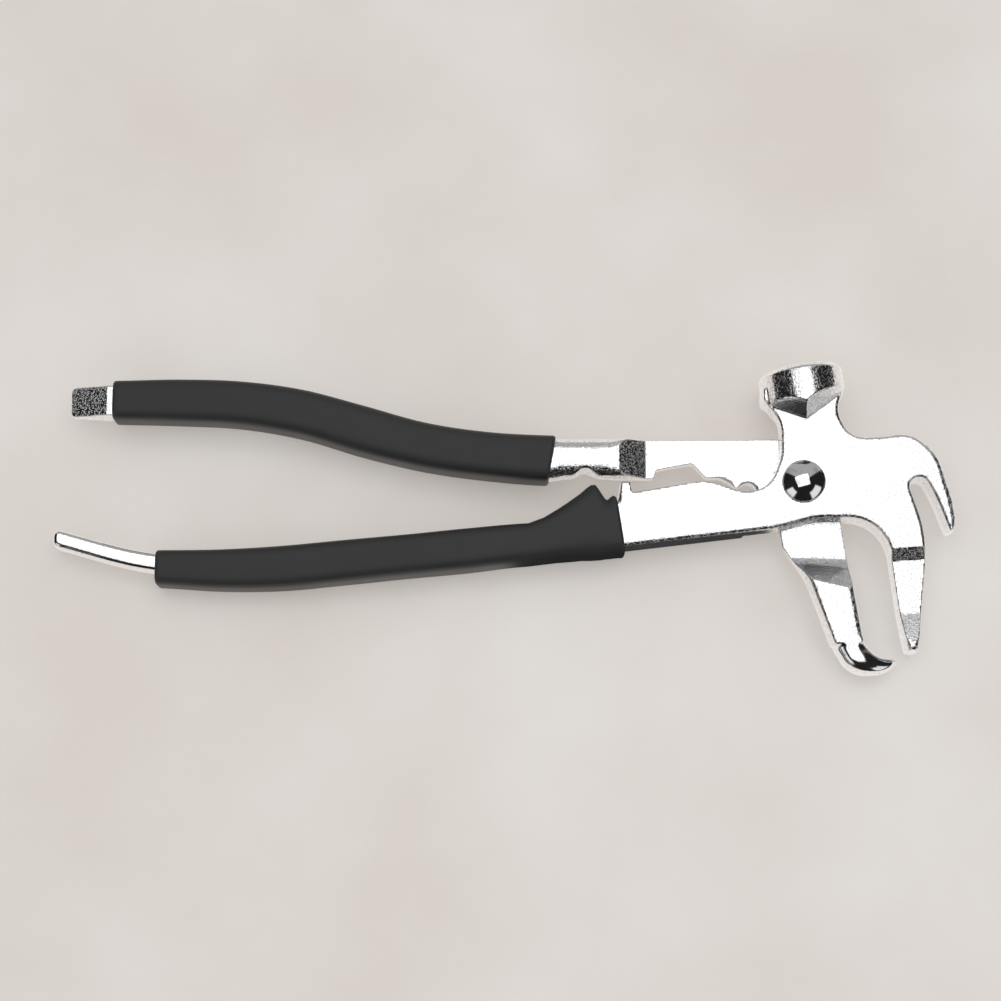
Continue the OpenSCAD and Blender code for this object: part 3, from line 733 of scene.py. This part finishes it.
def blade(x, y, z):
    """A bar that is ground to a wedge on both faces."""
    tip = -UPPER_REACH - BLADE_LEN
    share = np.clip((x - tip) / (BLADE_LEN - BLADE_FLAT), 0, 1)
    half = BLADE_TIP_HALF + (BLADE_ROOT_HALF - BLADE_TIP_HALF) * share
    side = np.abs(y - BLADE_Y) - BLADE_HALF_W
    ends = np.maximum(tip - x, x - (TAIL_DEPTH - UPPER_REACH))
    plan = round_and(side, ends, BLADE_CORNER)
    return round_and(plan, np.abs(z) - half, BLADE_EDGE)


def hook_half_field(x, y, z):
    """The distance to the whole half."""
    body = forging(measure_hook, x, y, z)
    body = round_and(body, np.abs(z) - taper(x, UPPER_REACH), CORE_EDGE)
    body = round_and(body, CORE_SHORT - UPPER_REACH - x, CORE_END_EDGE)
    body = blend_or(body, horn(x, y, z), HORN_SEAM)
    body = np.minimum(body, blade(x, y, z))
    notch, _ = measure_notch(x, y)
    body = cut_away(body, notch, NOTCH_EDGE)
    body = cut_away(body, lap_front(x, y, z), LAP_EDGE)
    body = cut_away(body, scallop_edge(x, y, z), SCALLOP_EDGE)
    return cut_away(body, np.hypot(x, y) - PIN_R - HOLE_PLAY, CUT_EDGE)


def hook_grain(x, y, z):
    """The horn is polished."""
    return np.where(horn(x, y, z) < BELONGS, POLISHED_DEPTH, RAW_DEPTH)


hook_half = skinned_piece(
    "hook_half_forged", hook_half_field, (-205.5, -55.5, -6.4), (26.5, 32.5, 6.4), hook_grain,
    polish_rounds=HORN_POLISH,
)

# %% [markdown]
# ## The rivet
# A rivet is a turned form, so its profile is drawn once and spun round its axis. The domed head is
# in front, and a low peened tail is behind.

# %% Spin a profile
HEAD_R = 5.9
HEAD_H = 3
HEAD_RIM = 0.5
HEAD_BREAK = 0.15
PEEN_H = 1.6
SPIN_STEPS = 96


def cap_profile(radius, height, base, direction, steps=20):
    """Points of a ball's cap from its rim to its pole."""
    ball = (radius ** 2 + height ** 2) / (2 * height)
    widest = math.asin(radius / ball)
    rows = []
    for k in range(steps + 1):
        a = widest * (1 - k / steps)
        rows.append((ball * math.sin(a), base + direction * (ball * math.cos(a) - ball + height)))
    return rows


def spun(name, profile):
    """A solid of revolution of (radius, z) points, from pole to pole."""
    mesh = bpy.data.meshes.new(name)
    form = bmesh.new()
    rows = []
    for radius, z in profile:
        if radius < 1e-6:
            rows.append([form.verts.new(in_frame((0, 0, z)))] * SPIN_STEPS)
            continue
        ring = []
        for k in range(SPIN_STEPS):
            a = 2 * math.pi * k / SPIN_STEPS
            ring.append(form.verts.new(in_frame((radius * math.cos(a), radius * math.sin(a), z))))
        rows.append(ring)
    for lower, upper in zip(rows, rows[1:]):
        for k in range(SPIN_STEPS):
            j = (k + 1) % SPIN_STEPS
            corners = [lower[k], lower[j], upper[j], upper[k]]
            form.faces.new(list(dict.fromkeys(corners)))
    bmesh.ops.recalc_face_normals(form, faces=form.faces)
    form.to_mesh(mesh)
    form.free()
    mesh.shade_smooth()
    print(name, "has", len(mesh.polygons), "faces")
    return add_object(name, mesh)


tail = cap_profile(HEAD_R, PEEN_H, -HALF_T - LAP_GAP, -1)
shank_profile = [(PIN_R, -HALF_T - LAP_GAP), (PIN_R, HALF_T)]
head_rim = [
    (HEAD_R - HEAD_BREAK, HALF_T), (HEAD_R, HALF_T + HEAD_BREAK), (HEAD_R, HALF_T + HEAD_RIM),
]
head = cap_profile(HEAD_R, HEAD_H - HEAD_RIM, HALF_T + HEAD_RIM, 1)
rivet = spun("pivot_rivet_domed", tail[::-1] + shank_profile + head_rim + head[1:])

# %% [markdown]
# ## The dipped sleeves
# Each sleeve follows a rule: at every station along the handle it is a soft rectangle, wider and
# narrower as the handle is. Geometry Nodes fit that well. The script gives the tree one ring of
# sections, along the outside, round the lip, back along the inside and round the mouth, and the
# tree wraps a grid round them. A plain loft in mesh code would do the same with its sizes buried.

# %% The node tree that wraps a sleeve
def sleeve_tree(material):
    """The tree that wraps a grid round the sections, and gives it the material."""
    tree = bpy.data.node_groups.new("Dipped sleeve", "GeometryNodeTree")
    face = tree.interface
    face.new_socket("Sections", in_out="INPUT", socket_type="NodeSocketGeometry")
    face.new_socket("Section count", in_out="INPUT", socket_type="NodeSocketInt")
    face.new_socket("Sides", in_out="INPUT", socket_type="NodeSocketInt")
    face.new_socket("Corner power", in_out="INPUT", socket_type="NodeSocketFloat")
    face.new_socket("Sleeve", in_out="OUTPUT", socket_type="NodeSocketGeometry")
    nodes, links = tree.nodes, tree.links

    def add(kind, **settings):
        made = nodes.new(kind)
        for key, value in settings.items():
            setattr(made, key, value)
        return made

    def math_node(operation, a, b=None):
        made = add("ShaderNodeMath", operation=operation)
        for socket, value in zip(made.inputs, (a, b)):
            if isinstance(value, (int, float)):
                socket.default_value = value
            elif value is not None:
                links.new(value, socket)
        return made.outputs[0]

    given = add("NodeGroupInput").outputs
    grid = add("GeometryNodeMeshGrid")
    links.new(math_node("ADD", given["Section count"], 1), grid.inputs["Vertices X"])
    links.new(math_node("ADD", given["Sides"], 1), grid.inputs["Vertices Y"])
    index = add("GeometryNodeInputIndex").outputs[0]
    per_ring = math_node("ADD", given["Sides"], 1)
    ring = math_node("FLOOR", math_node("DIVIDE", math_node("ADD", index, 0.5), per_ring))
    side = math_node("SUBTRACT", index, math_node("MULTIPLY", ring, per_ring))
    section = math_node("MODULO", ring, given["Section count"])
    angle = math_node("MULTIPLY", math_node("DIVIDE", side, given["Sides"]), 2 * math.pi)

    def soft_wave(operation):
        """A sine or cosine whose power squares the section off."""
        wave = math_node(operation, angle)
        size = math_node("MAXIMUM", math_node("ABSOLUTE", wave), 1e-7)
        size = math_node("POWER", size, given["Corner power"])
        return math_node("MULTIPLY", math_node("SIGN", wave), size)

    def at_section(name, data_type="FLOAT"):
        """What the section that a point belongs to says about itself."""
        sample = add("GeometryNodeSampleIndex", data_type=data_type, domain="POINT")
        links.new(given["Sections"], sample.inputs["Geometry"])
        links.new(section, sample.inputs["Index"])
        if name == "position":
            source = add("GeometryNodeInputPosition").outputs[0]
        else:
            named = add("GeometryNodeInputNamedAttribute", data_type="FLOAT")
            named.inputs["Name"].default_value = name
            source = named.outputs["Attribute"]
        links.new(source, sample.inputs["Value"])
        return sample.outputs["Value"]

    width = math_node("MULTIPLY", at_section("half_width"), soft_wave("COSINE"))
    height = math_node("MULTIPLY", at_section("half_height"), soft_wave("SINE"))
    offset = add("ShaderNodeCombineXYZ")
    links.new(math_node("MULTIPLY", at_section("slant"), width), offset.inputs["X"])
    links.new(width, offset.inputs["Y"])
    links.new(height, offset.inputs["Z"])
    place = add("ShaderNodeVectorMath", operation="ADD")
    links.new(at_section("position", "FLOAT_VECTOR"), place.inputs[0])
    links.new(offset.outputs[0], place.inputs[1])
    moved = add("GeometryNodeSetPosition")
    links.new(grid.outputs["Mesh"], moved.inputs["Geometry"])
    links.new(place.outputs[0], moved.inputs["Position"])
    welded = add("GeometryNodeMergeByDistance")
    links.new(moved.outputs[0], welded.inputs["Geometry"])
    welded.inputs["Distance"].default_value = 1e-6
    smoothed = add("GeometryNodeSetShadeSmooth")
    links.new(welded.outputs[0], smoothed.inputs["Geometry"])
    real = add("GeometryNodeRealizeInstances")
    links.new(smoothed.outputs[0], real.inputs[0])
    painted = add("GeometryNodeSetMaterial")
    painted.inputs["Material"].default_value = material
    links.new(real.outputs[0], painted.inputs["Geometry"])
    links.new(painted.outputs[0], add("NodeGroupOutput").inputs["Sleeve"])
    print("the sleeves' tree has", len(nodes), "nodes")
    return tree


# %% [markdown]
# The sleeve grips its core all along, so its inside lies a hair within the steel. The mouth isn't
# cut square to the handle, which a slant that fades out along the first sections gives.

# %% The sections of a sleeve
LIP_STEPS = 6
CORE_OVERLAP = 0.25
BETWEEN_STATIONS = 4
MOUTH_FADE = 14
SLEEVE_SIDES = 56
CORNER_POWER = 0.44  # 1 is an ellipse, and less is squarer


def half_height(x, end):
    """Half the thickness of a sleeve, which follows its core."""
    return GRIP_WALL + float(taper(np.array(x), end))


def sleeve_sections(rows, end, mouth_slant):
    """Sections (x, middle, half width, half height, slant), out along the wall and back."""
    dense = []
    for a, b in zip(rows, rows[1:]):
        for k in range(BETWEEN_STATIONS):
            dense.append([p + (q - p) * k / BETWEEN_STATIONS for p, q in zip(a, b)])
    dense.append(list(rows[-1]))
    outer = []
    first = dense[0][0]
    for x, top, bottom in dense:
        slant = mouth_slant * max(0, 1 - (first - x) / MOUTH_FADE)
        outer.append((x, (top + bottom) / 2, (top - bottom) / 2, half_height(x, end), slant))
    wall = GRIP_WALL + CORE_OVERLAP
    inner = [(x, y, w - wall, h - wall, s) for x, y, w, h, s in reversed(outer)]

    def lip(section, outwards):
        """A half round from the outside to the inside, at one end of the wall."""
        x, y, w, h, s = section
        rows_of_lip = []
        for k in range(1, LIP_STEPS):
            a = math.pi * k / LIP_STEPS
            draw = wall / 2 * (1 - math.cos(a))
            rows_of_lip.append((x + outwards * wall / 2 * math.sin(a), y, w - draw, h - draw, s))
        return rows_of_lip

    return outer + lip(outer[-1], -1) + inner + lip(outer[0], 1)[::-1]


print("a sleeve's lip is a half round,", GRIP_WALL + CORE_OVERLAP, "mm thick")


def sleeve(name, rows, end, mouth_slant, tree):
    """A sleeve as a plain mesh, made by the tree from its sections."""
    sections = np.array(sleeve_sections(rows, end, mouth_slant))
    mesh = bpy.data.meshes.new(name + "_sections")
    places = np.stack([sections[:, 0], sections[:, 1], np.zeros(len(sections))], 1)
    mesh.from_pydata(in_frame(places).tolist(), [], [])
    write_attribute(mesh, "half_width", sections[:, 2] * MM)
    write_attribute(mesh, "half_height", sections[:, 3] * MM)
    write_attribute(mesh, "slant", sections[:, 4])
    source = add_object(name + "_sections", mesh)
    wrap = source.modifiers.new("Dipped sleeve", "NODES")
    wrap.node_group = tree
    sizes = {"Section count": len(sections), "Sides": SLEEVE_SIDES, "Corner power": CORNER_POWER}
    for item in tree.interface.items_tree:
        if item.name in sizes and item.in_out == "INPUT":
            wrap[item.identifier] = sizes[item.name]
    graph = bpy.context.evaluated_depsgraph_get()
    made = bpy.data.meshes.new_from_object(source.evaluated_get(graph))
    bpy.data.objects.remove(source)
    form = bmesh.new()
    form.from_mesh(made)
    bmesh.ops.recalc_face_normals(form, faces=form.faces)
    form.to_mesh(made)
    form.free()
    print(name, "has", len(made.polygons), "faces from", len(sections), "sections")
    return add_object(name, made)


# %% [markdown]
# ## Finishes
# Plating mirrors the room, and its grain of about half a millimetre breaks each reflection up. A
# noise that is cut off low makes small pimples on level ground. They raise the surface and darken
# it a little, and on the two halves the depth that was written on their points says how high they
# stand. The rivet is smoother. Another noise, far larger, makes the gloss uneven.

# %% Plated steel
PIMPLES = (0.48, 0.7)  # the part of the noise that is raised
PLATED_COLOUR = (0.8, 0.8, 0.81, 1)
PIMPLE_COLOUR = (0.62, 0.62, 0.63, 1)
GLOSS_PATCH = 9
GLOSS_SPREAD = (0.7, 1.3)


def new_material(name):
    material = bpy.data.materials.new(name)
    material.use_nodes = True
    return material, material.node_tree.nodes, material.node_tree.links


def plating_of(name, grain, depth, roughness):
    """Bright plating with grain of a size and a depth in millimetres."""
    material, nodes, links = new_material(name)
    shader = nodes["Principled BSDF"]
    shader.inputs["Metallic"].default_value = 1
    place = nodes.new("ShaderNodeTexCoord")
    fine = nodes.new("ShaderNodeTexNoise")
    fine.inputs["Scale"].default_value = 1 / (grain * MM)
    fine.inputs["Detail"].default_value = 2
    links.new(place.outputs["Object"], fine.inputs["Vector"])
    pimples = nodes.new("ShaderNodeMapRange")
    pimples.interpolation_type = "SMOOTHSTEP"
    pimples.inputs["From Min"].default_value, pimples.inputs["From Max"].default_value = PIMPLES
    links.new(fine.outputs["Fac"], pimples.inputs["Value"])
    bump = nodes.new("ShaderNodeBump")
    bump.inputs["Strength"].default_value = 1
    bump.inputs["Distance"].default_value = depth * MM
    shade = nodes.new("ShaderNodeMix")
    shade.data_type = "RGBA"
    shade.inputs[6].default_value = PLATED_COLOUR
    shade.inputs[7].default_value = PIMPLE_COLOUR
    links.new(pimples.outputs["Result"], shade.inputs["Factor"])
    links.new(shade.outputs[2], shader.inputs["Base Color"])
    links.new(pimples.outputs["Result"], bump.inputs["Height"])
    links.new(bump.outputs[0], shader.inputs["Normal"])
    wear = nodes.new("ShaderNodeTexNoise")
    wear.inputs["Scale"].default_value = 1 / (GLOSS_PATCH * MM)
    links.new(place.outputs["Object"], wear.inputs["Vector"])
    spread = nodes.new("ShaderNodeMapRange")
    spread.inputs["To Min"].default_value = roughness * GLOSS_SPREAD[0]
    spread.inputs["To Max"].default_value = roughness * GLOSS_SPREAD[1]
    links.new(wear.outputs["Fac"], spread.inputs["Value"])
    links.new(spread.outputs["Result"], shader.inputs["Roughness"])
    return material, bump


def forged_plating():
    """Plating that is grainy where the forging was left as struck, and calm where it was ground."""
    material, bump = plating_of("forged plating", grain=0.5, depth=RAW_DEPTH, roughness=0.1)
    nodes, links = material.node_tree.nodes, material.node_tree.links
    made = nodes.new("ShaderNodeAttribute")
    made.attribute_name = "grain_depth"
    links.new(made.outputs["Fac"], bump.inputs["Distance"])
    return material


plating = forged_plating()
rivet_plating, _ = plating_of("smooth plating", grain=2.5, depth=POLISHED_DEPTH, roughness=0.06)
print("two steels:", plating.name, "and", rivet_plating.name)

# %% [markdown]
# The sleeves are dipped in soft plastic: nearly black, satin rather than glossy, with faint pores
# and no seam. One noise in two uses keeps the tree short: it shifts the colour and the gloss.

# %% Sleeve plastic
BLACKS = ((0.018, 0.0185, 0.019, 1), (0.025, 0.0255, 0.026, 1))
PLASTIC_ROUGHNESS = (0.48, 0.62)
PLASTIC_PATCH = 14
PORE, PORE_DEPTH = 0.7, 0.02


def sleeve_plastic():
    """Satin black plastic with faint pores."""
    material, nodes, links = new_material("dipped plastic")
    shader = nodes["Principled BSDF"]
    place = nodes.new("ShaderNodeTexCoord")
    shade = nodes.new("ShaderNodeTexNoise")
    shade.inputs["Scale"].default_value = 1 / (PLASTIC_PATCH * MM)
    shade.inputs["Detail"].default_value = 4
    links.new(place.outputs["Object"], shade.inputs["Vector"])
    colour = nodes.new("ShaderNodeValToRGB")
    for element, black in zip(colour.color_ramp.elements, BLACKS):
        element.color = black
    links.new(shade.outputs["Fac"], colour.inputs["Fac"])
    links.new(colour.outputs["Color"], shader.inputs["Base Color"])
    spread = nodes.new("ShaderNodeMapRange")
    spread.inputs["To Min"].default_value = PLASTIC_ROUGHNESS[0]
    spread.inputs["To Max"].default_value = PLASTIC_ROUGHNESS[1]
    links.new(shade.outputs["Fac"], spread.inputs["Value"])
    links.new(spread.outputs["Result"], shader.inputs["Roughness"])
    pores = nodes.new("ShaderNodeTexNoise")
    pores.inputs["Scale"].default_value = 1 / (PORE * MM)
    links.new(place.outputs["Object"], pores.inputs["Vector"])
    bump = nodes.new("ShaderNodeBump")
    bump.inputs["Strength"].default_value = 1
    bump.inputs["Distance"].default_value = PORE_DEPTH * MM
    links.new(pores.outputs["Fac"], bump.inputs["Height"])
    links.new(bump.outputs[0], shader.inputs["Normal"])
    return material


plastic = sleeve_plastic()
print("one plastic:", plastic.name)

# %% [markdown]
# The tree ends by giving the sleeve its plastic, so the sleeves are made here, once there is one.
# Their mouths slant in opposite directions: each reaches further along the outer edge of its
# handle. The other pieces get their finish here too, and both halves share one plating.

# %% Make the sleeves and give every piece its finish
UPPER_MOUTH_SLANT, LOWER_MOUTH_SLANT = 0.17, -0.15
tree = sleeve_tree(plastic)
upper_sleeve = sleeve(
    "hook_half_grip_dipped", upper_skin, UPPER_REACH, UPPER_MOUTH_SLANT, tree
)
lower_sleeve = sleeve(
    "hammer_half_grip_dipped", lower_skin, LOWER_REACH, LOWER_MOUTH_SLANT, tree
)
for piece, material in (
    (hammer_half, plating),
    (hook_half, plating),
    (rivet, rivet_plating),
    (upper_sleeve, plastic),
    (lower_sleeve, plastic),
):
    piece.data.materials.clear()
    piece.data.materials.append(material)

# %% [markdown]
# The rivet is clenched in the half with the hammer, so it moves with that half, and the half with
# the hook turns on it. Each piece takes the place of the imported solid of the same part.

# %% Every piece rides on its body and stands for its node
for piece, node, body, slot in (
    (hammer_half, "hammer_half", "hammer_side", "plated_steel"),
    (rivet, "pivot_rivet", "hammer_side", "rivet_steel"),
    (lower_sleeve, "hammer_half_grip", "hammer_side", "grip_plastic"),
    (hook_half, "hook_half", "hook_side", "plated_steel"),
    (upper_sleeve, "hook_half_grip", "hook_side", "grip_plastic"),
):
    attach(piece, body)
    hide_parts(node)
    print(piece.name, "rides on", body, "for", node)

# %% [markdown]
# ## Floor, light and camera
# The tool lies where gravity leaves it: on the rim of the hammer, the horn and the end of a sleeve.
# Those three points are a face of the hull round the whole tool, under its middle, so the floor is
# laid in that face.

# %% The floor under the tool
TOOL_MIDDLE = Vector((-55, -3, 0))
LOOKS_DOWN = -0.5


def resting_face():
    """A point of the hull's face under the tool's middle, and the normal that points up."""
    hull = bmesh.new()
    for node in frame["nodes"].values():
        for vertex in node.data.vertices:
            hull.verts.new(vertex.co)
    bmesh.ops.convex_hull(hull, input=hull.verts, use_existing_faces=False)
    middle = PIVOT + TOOL_MIDDLE * MM
    best = None
    for face in hull.faces:
        normal = face.normal
        if normal.z > LOOKS_DOWN:
            continue
        drop = (face.verts[0].co - middle).dot(normal) / normal.z
        foot = middle + Vector((0, 0, drop))
        if bmesh.geometry.intersect_face_point(face, foot) and (best is None or foot.z < best[0].z):
            best = (face.verts[0].co.copy(), -normal.copy())
    hull.free()
    return best


foot, up = resting_face()
lean = math.degrees(up.angle((0, 0, 1)))
passes = [round(v / MM, 2) for v in foot - PIVOT]
print("the floor passes", passes, "and leans", round(lean, 2), "degrees")

# %% [markdown]
# The floor is pale, warm and slightly uneven, and the shadows on it are faint, as on a light
# table. So it glows a little, which is painted light that lightens its shadows, and more where the
# plating mirrors it, which is a painted reflection that shows the forgings' walls nearly white.
# One patch of it is black to mirrors alone: a painted dark reflection beside the lower handle,
# with no card there, which gives the shank its dark lower wall.

# %% Pale floor
# Painted glow: the floor emits its own colour to lighten its shadows, and emits more to glossy rays
# alone as a painted reflection.
PAINTED_FLOOR_GLOW = 0.54
PAINTED_REFLECTION_GLOW = 0.6
CLOUD_SCALE = 12
FLOOR_TONES = ((0.35, (0.5, 0.46, 0.43, 1)), (0.7, (0.55, 0.525, 0.5, 1)))
# A patch of painted dark reflection: the floor is black there to glossy rays alone, and no card lies
# there.
DARK_REFLECTION_LEFT, DARK_REFLECTION_RIGHT, DARK_REFLECTION_TOP = -80, -7, -8
DARK_REFLECTION_SOFT = 2
DARK_REFLECTION_COLOUR = (0.02, 0.02, 0.02, 1)
FLOOR_ROUGHNESS = 0.45


def floor_material():
    """The floor with its painted glow, and a patch of painted dark reflection that only mirrors see.
    """
    material, nodes, links = new_material("pale floor")
    shader = nodes["Principled BSDF"]
    place = nodes.new("ShaderNodeTexCoord")
    cloud = nodes.new("ShaderNodeTexNoise")
    cloud.inputs["Scale"].default_value = CLOUD_SCALE
    cloud.inputs["Detail"].default_value = 5
    links.new(place.outputs["Object"], cloud.inputs["Vector"])
    colour = nodes.new("ShaderNodeValToRGB")
    for element, (position, tone) in zip(colour.color_ramp.elements, FLOOR_TONES):
        element.position, element.color = position, tone
    links.new(cloud.outputs["Fac"], colour.inputs["Fac"])
    spot = nodes.new("ShaderNodeSeparateXYZ")
    links.new(place.outputs["Object"], spot.inputs[0])

    def below(output, edge):
        """1 where a coordinate is below an edge, over a soft border."""
        fade = nodes.new("ShaderNodeMapRange")
        fade.inputs["From Min"].default_value = edge - DARK_REFLECTION_SOFT * MM
        fade.inputs["From Max"].default_value = edge + DARK_REFLECTION_SOFT * MM
        fade.inputs["To Min"].default_value = 1
        fade.inputs["To Max"].default_value = 0
        links.new(spot.outputs[output], fade.inputs["Value"])
        return fade.outputs["Result"]

    def both(a, b):
        product = nodes.new("ShaderNodeMath")
        product.operation = "MULTIPLY"
        links.new(a, product.inputs[0])
        links.new(b, product.inputs[1])
        return product.outputs[0]

    # The patch of painted dark reflection: the floor's colour turns black there for glossy rays
    # only.
    path = nodes.new("ShaderNodeLightPath")
    left = nodes.new("ShaderNodeMath")
    left.operation = "SUBTRACT"
    left.inputs[0].default_value = 1
    links.new(below("X", PIVOT.x + DARK_REFLECTION_LEFT * MM), left.inputs[1])
    right = below("X", PIVOT.x + DARK_REFLECTION_RIGHT * MM)
    painted_dark_reflection = both(both(left.outputs[0], right), below("Y", PIVOT.y + DARK_REFLECTION_TOP * MM))
    dark = nodes.new("ShaderNodeMix")
    dark.data_type = "RGBA"
    dark.inputs[7].default_value = DARK_REFLECTION_COLOUR
    links.new(both(painted_dark_reflection, path.outputs["Is Glossy Ray"]), dark.inputs["Factor"])
    links.new(colour.outputs["Color"], dark.inputs[6])
    links.new(dark.outputs[2], shader.inputs["Base Color"])
    links.new(dark.outputs[2], shader.inputs["Emission Color"])
    # Painted glow: the floor's own glow, plus more for glossy rays only, which is a painted
    # reflection.
    glow = nodes.new("ShaderNodeMath")
    glow.operation = "MULTIPLY_ADD"
    links.new(path.outputs["Is Glossy Ray"], glow.inputs[0])
    glow.inputs[1].default_value = PAINTED_REFLECTION_GLOW
    glow.inputs[2].default_value = PAINTED_FLOOR_GLOW
    links.new(glow.outputs[0], shader.inputs["Emission Strength"])
    shader.inputs["Roughness"].default_value = FLOOR_ROUGHNESS
    return material


FLOOR_HALF = 1.6
FLOOR_GAP = 0.1
turn = Vector((0, 0, 1)).rotation_difference(up)
corners = []
for sx, sy in ((-1, -1), (1, -1), (1, 1), (-1, 1)):
    corner = foot + turn @ Vector((sx * FLOOR_HALF, sy * FLOOR_HALF, 0))
    corners.append(tuple(corner - up * FLOOR_GAP * MM))
floor_mesh = bpy.data.meshes.new("floor")
floor_mesh.from_pydata(corners, [], [(0, 1, 2, 3)])
floor = add_object("floor", floor_mesh)
floor.data.materials.append(floor_material())
print("the floor is", 2 * FLOOR_HALF, "m wide")

# %% [markdown]
# Plating shows the room rather than its own colour. In the photograph it mirrors a white softbox
# overhead, a pale wall beyond the tool, dark walls on the other sides and two small lights low in
# the near corners. The world gives these to mirrors only, by direction, and an even light to
# everything else. A direction is a bearing from +Y towards +X, and a height, both in degrees.

# %% The room that the plating mirrors
FILL = 0.68
MIRROR_DARK = 0.02
MIRRORED = (
    ((-52, 52), (-10, 95), 0.52),
    ((100, 146), (12, 42), 1.1),
    ((-146, -112), (16, 44), 1.1),
)
BEARING_SOFT, HEIGHT_SOFT = 4, 3


def room():
    """The world: lit regions for mirrors, and an even fill for everything else."""
    world = bpy.data.worlds.new("studio")
    bpy.context.scene.world = world
    world.use_nodes = True
    nodes, links = world.node_tree.nodes, world.node_tree.links
    nodes.clear()

    def math_node(operation, *values):
        made = nodes.new("ShaderNodeMath")
        made.operation = operation
        for socket, value in zip(made.inputs, values):
            if isinstance(value, (int, float)):
                socket.default_value = value
            else:
                links.new(value, socket)
        return made.outputs[0]

    def between(value, low, high, soft):
        """1 between low and high, and 0 outside, over a soft edge."""
        rise = nodes.new("ShaderNodeMapRange")
        fall = nodes.new("ShaderNodeMapRange")
        for made, edge, ends in ((rise, low, (0, 1)), (fall, high, (1, 0))):
            made.interpolation_type = "SMOOTHSTEP"
            made.inputs["From Min"].default_value = edge - soft
            made.inputs["From Max"].default_value = edge + soft
            made.inputs["To Min"].default_value, made.inputs["To Max"].default_value = ends
            links.new(value, made.inputs["Value"])
        return math_node("MULTIPLY", rise.outputs["Result"], fall.outputs["Result"])

    direction = nodes.new("ShaderNodeTexCoord")
    split = nodes.new("ShaderNodeSeparateXYZ")
    links.new(direction.outputs["Generated"], split.inputs[0])
    x, y, z = split.outputs
    height = math_node("DEGREES", math_node("ARCSINE", z))
    bearing = math_node("DEGREES", math_node("ARCTAN2", x, y))
    total = None
    for (left, right), (low, high), strength in MIRRORED:
        wide = between(bearing, left, right, BEARING_SOFT)
        patch = math_node("MULTIPLY", wide, between(height, low, high, HEIGHT_SOFT))
        glow = math_node("MULTIPLY", patch, strength)
        total = glow if total is None else math_node("ADD", total, glow)
    mirrored = nodes.new("ShaderNodeBackground")
    links.new(math_node("ADD", total, MIRROR_DARK), mirrored.inputs["Strength"])
    even = nodes.new("ShaderNodeBackground")
    even.inputs["Strength"].default_value = FILL
    path = nodes.new("ShaderNodeLightPath")
    mix = nodes.new("ShaderNodeMixShader")
    links.new(path.outputs["Is Glossy Ray"], mix.inputs[0])
    links.new(even.outputs[0], mix.inputs[1])
    links.new(mirrored.outputs[0], mix.inputs[2])
    out = nodes.new("ShaderNodeOutputWorld")
    links.new(mix.outputs[0], out.inputs[0])


room()
print("the plating mirrors", len(MIRRORED), "lit regions of the room")

# %% [markdown]
# The flat faces mirror one large softbox, which is why they come out white. It hangs where the
# camera's line of sight goes after it is mirrored in them. Its power follows from its area, so its
# level stays the same when its size is changed.

# %% Softbox overhead
SOFTBOX_UP = 1.2
SOFTBOX_SIZE = (1.15, 0.97)
SOFTBOX_LEVEL = 1.3
SOFTBOX_AIM = Vector((-0.05, 0.18, 1)).normalized()
SOFTBOX_SHIFT = Vector((0.015, -0.075, 0))


def softbox():
    """The lamp that the flat faces mirror."""
    lamp = bpy.data.lights.new("softbox", "AREA")
    lamp.shape = "RECTANGLE"
    lamp.size, lamp.size_y = SOFTBOX_SIZE
    lamp.energy = SOFTBOX_LEVEL * math.pi * lamp.size * lamp.size_y
    box = add_object("softbox", lamp)
    box.location = PIVOT + SOFTBOX_SHIFT + SOFTBOX_AIM * SOFTBOX_UP
    box.rotation_euler = SOFTBOX_AIM.to_track_quat("Z", "Y").to_euler()
    print("the softbox hangs at", [round(v, 3) for v in box.location])


softbox()

# %% [markdown]
# The camera stands on the jaws' side and looks down at 79 degrees through a long lens. Its place
# and its lens were solved from points of the tool that can be told apart in the photograph.

# %% Camera
CAMERA_AT = Vector((-83.695, -122.647, 608.609))
ELEVATION = math.radians(79)
FOCAL_PIXELS = 2231.8
IMAGE_PIXELS = 1001
SENSOR = 36
camera_data = bpy.data.cameras.new("camera")
camera_data.sensor_width = SENSOR
camera_data.lens = SENSOR * FOCAL_PIXELS / IMAGE_PIXELS
camera = add_object("camera", camera_data)
camera.location = PIVOT + CAMERA_AT * MM
camera.rotation_euler = (math.pi / 2 - ELEVATION, 0, 0)
bpy.context.scene.camera = camera
bpy.context.scene.view_settings.view_transform = "Standard"
print("camera at", [round(v, 4) for v in camera.location])
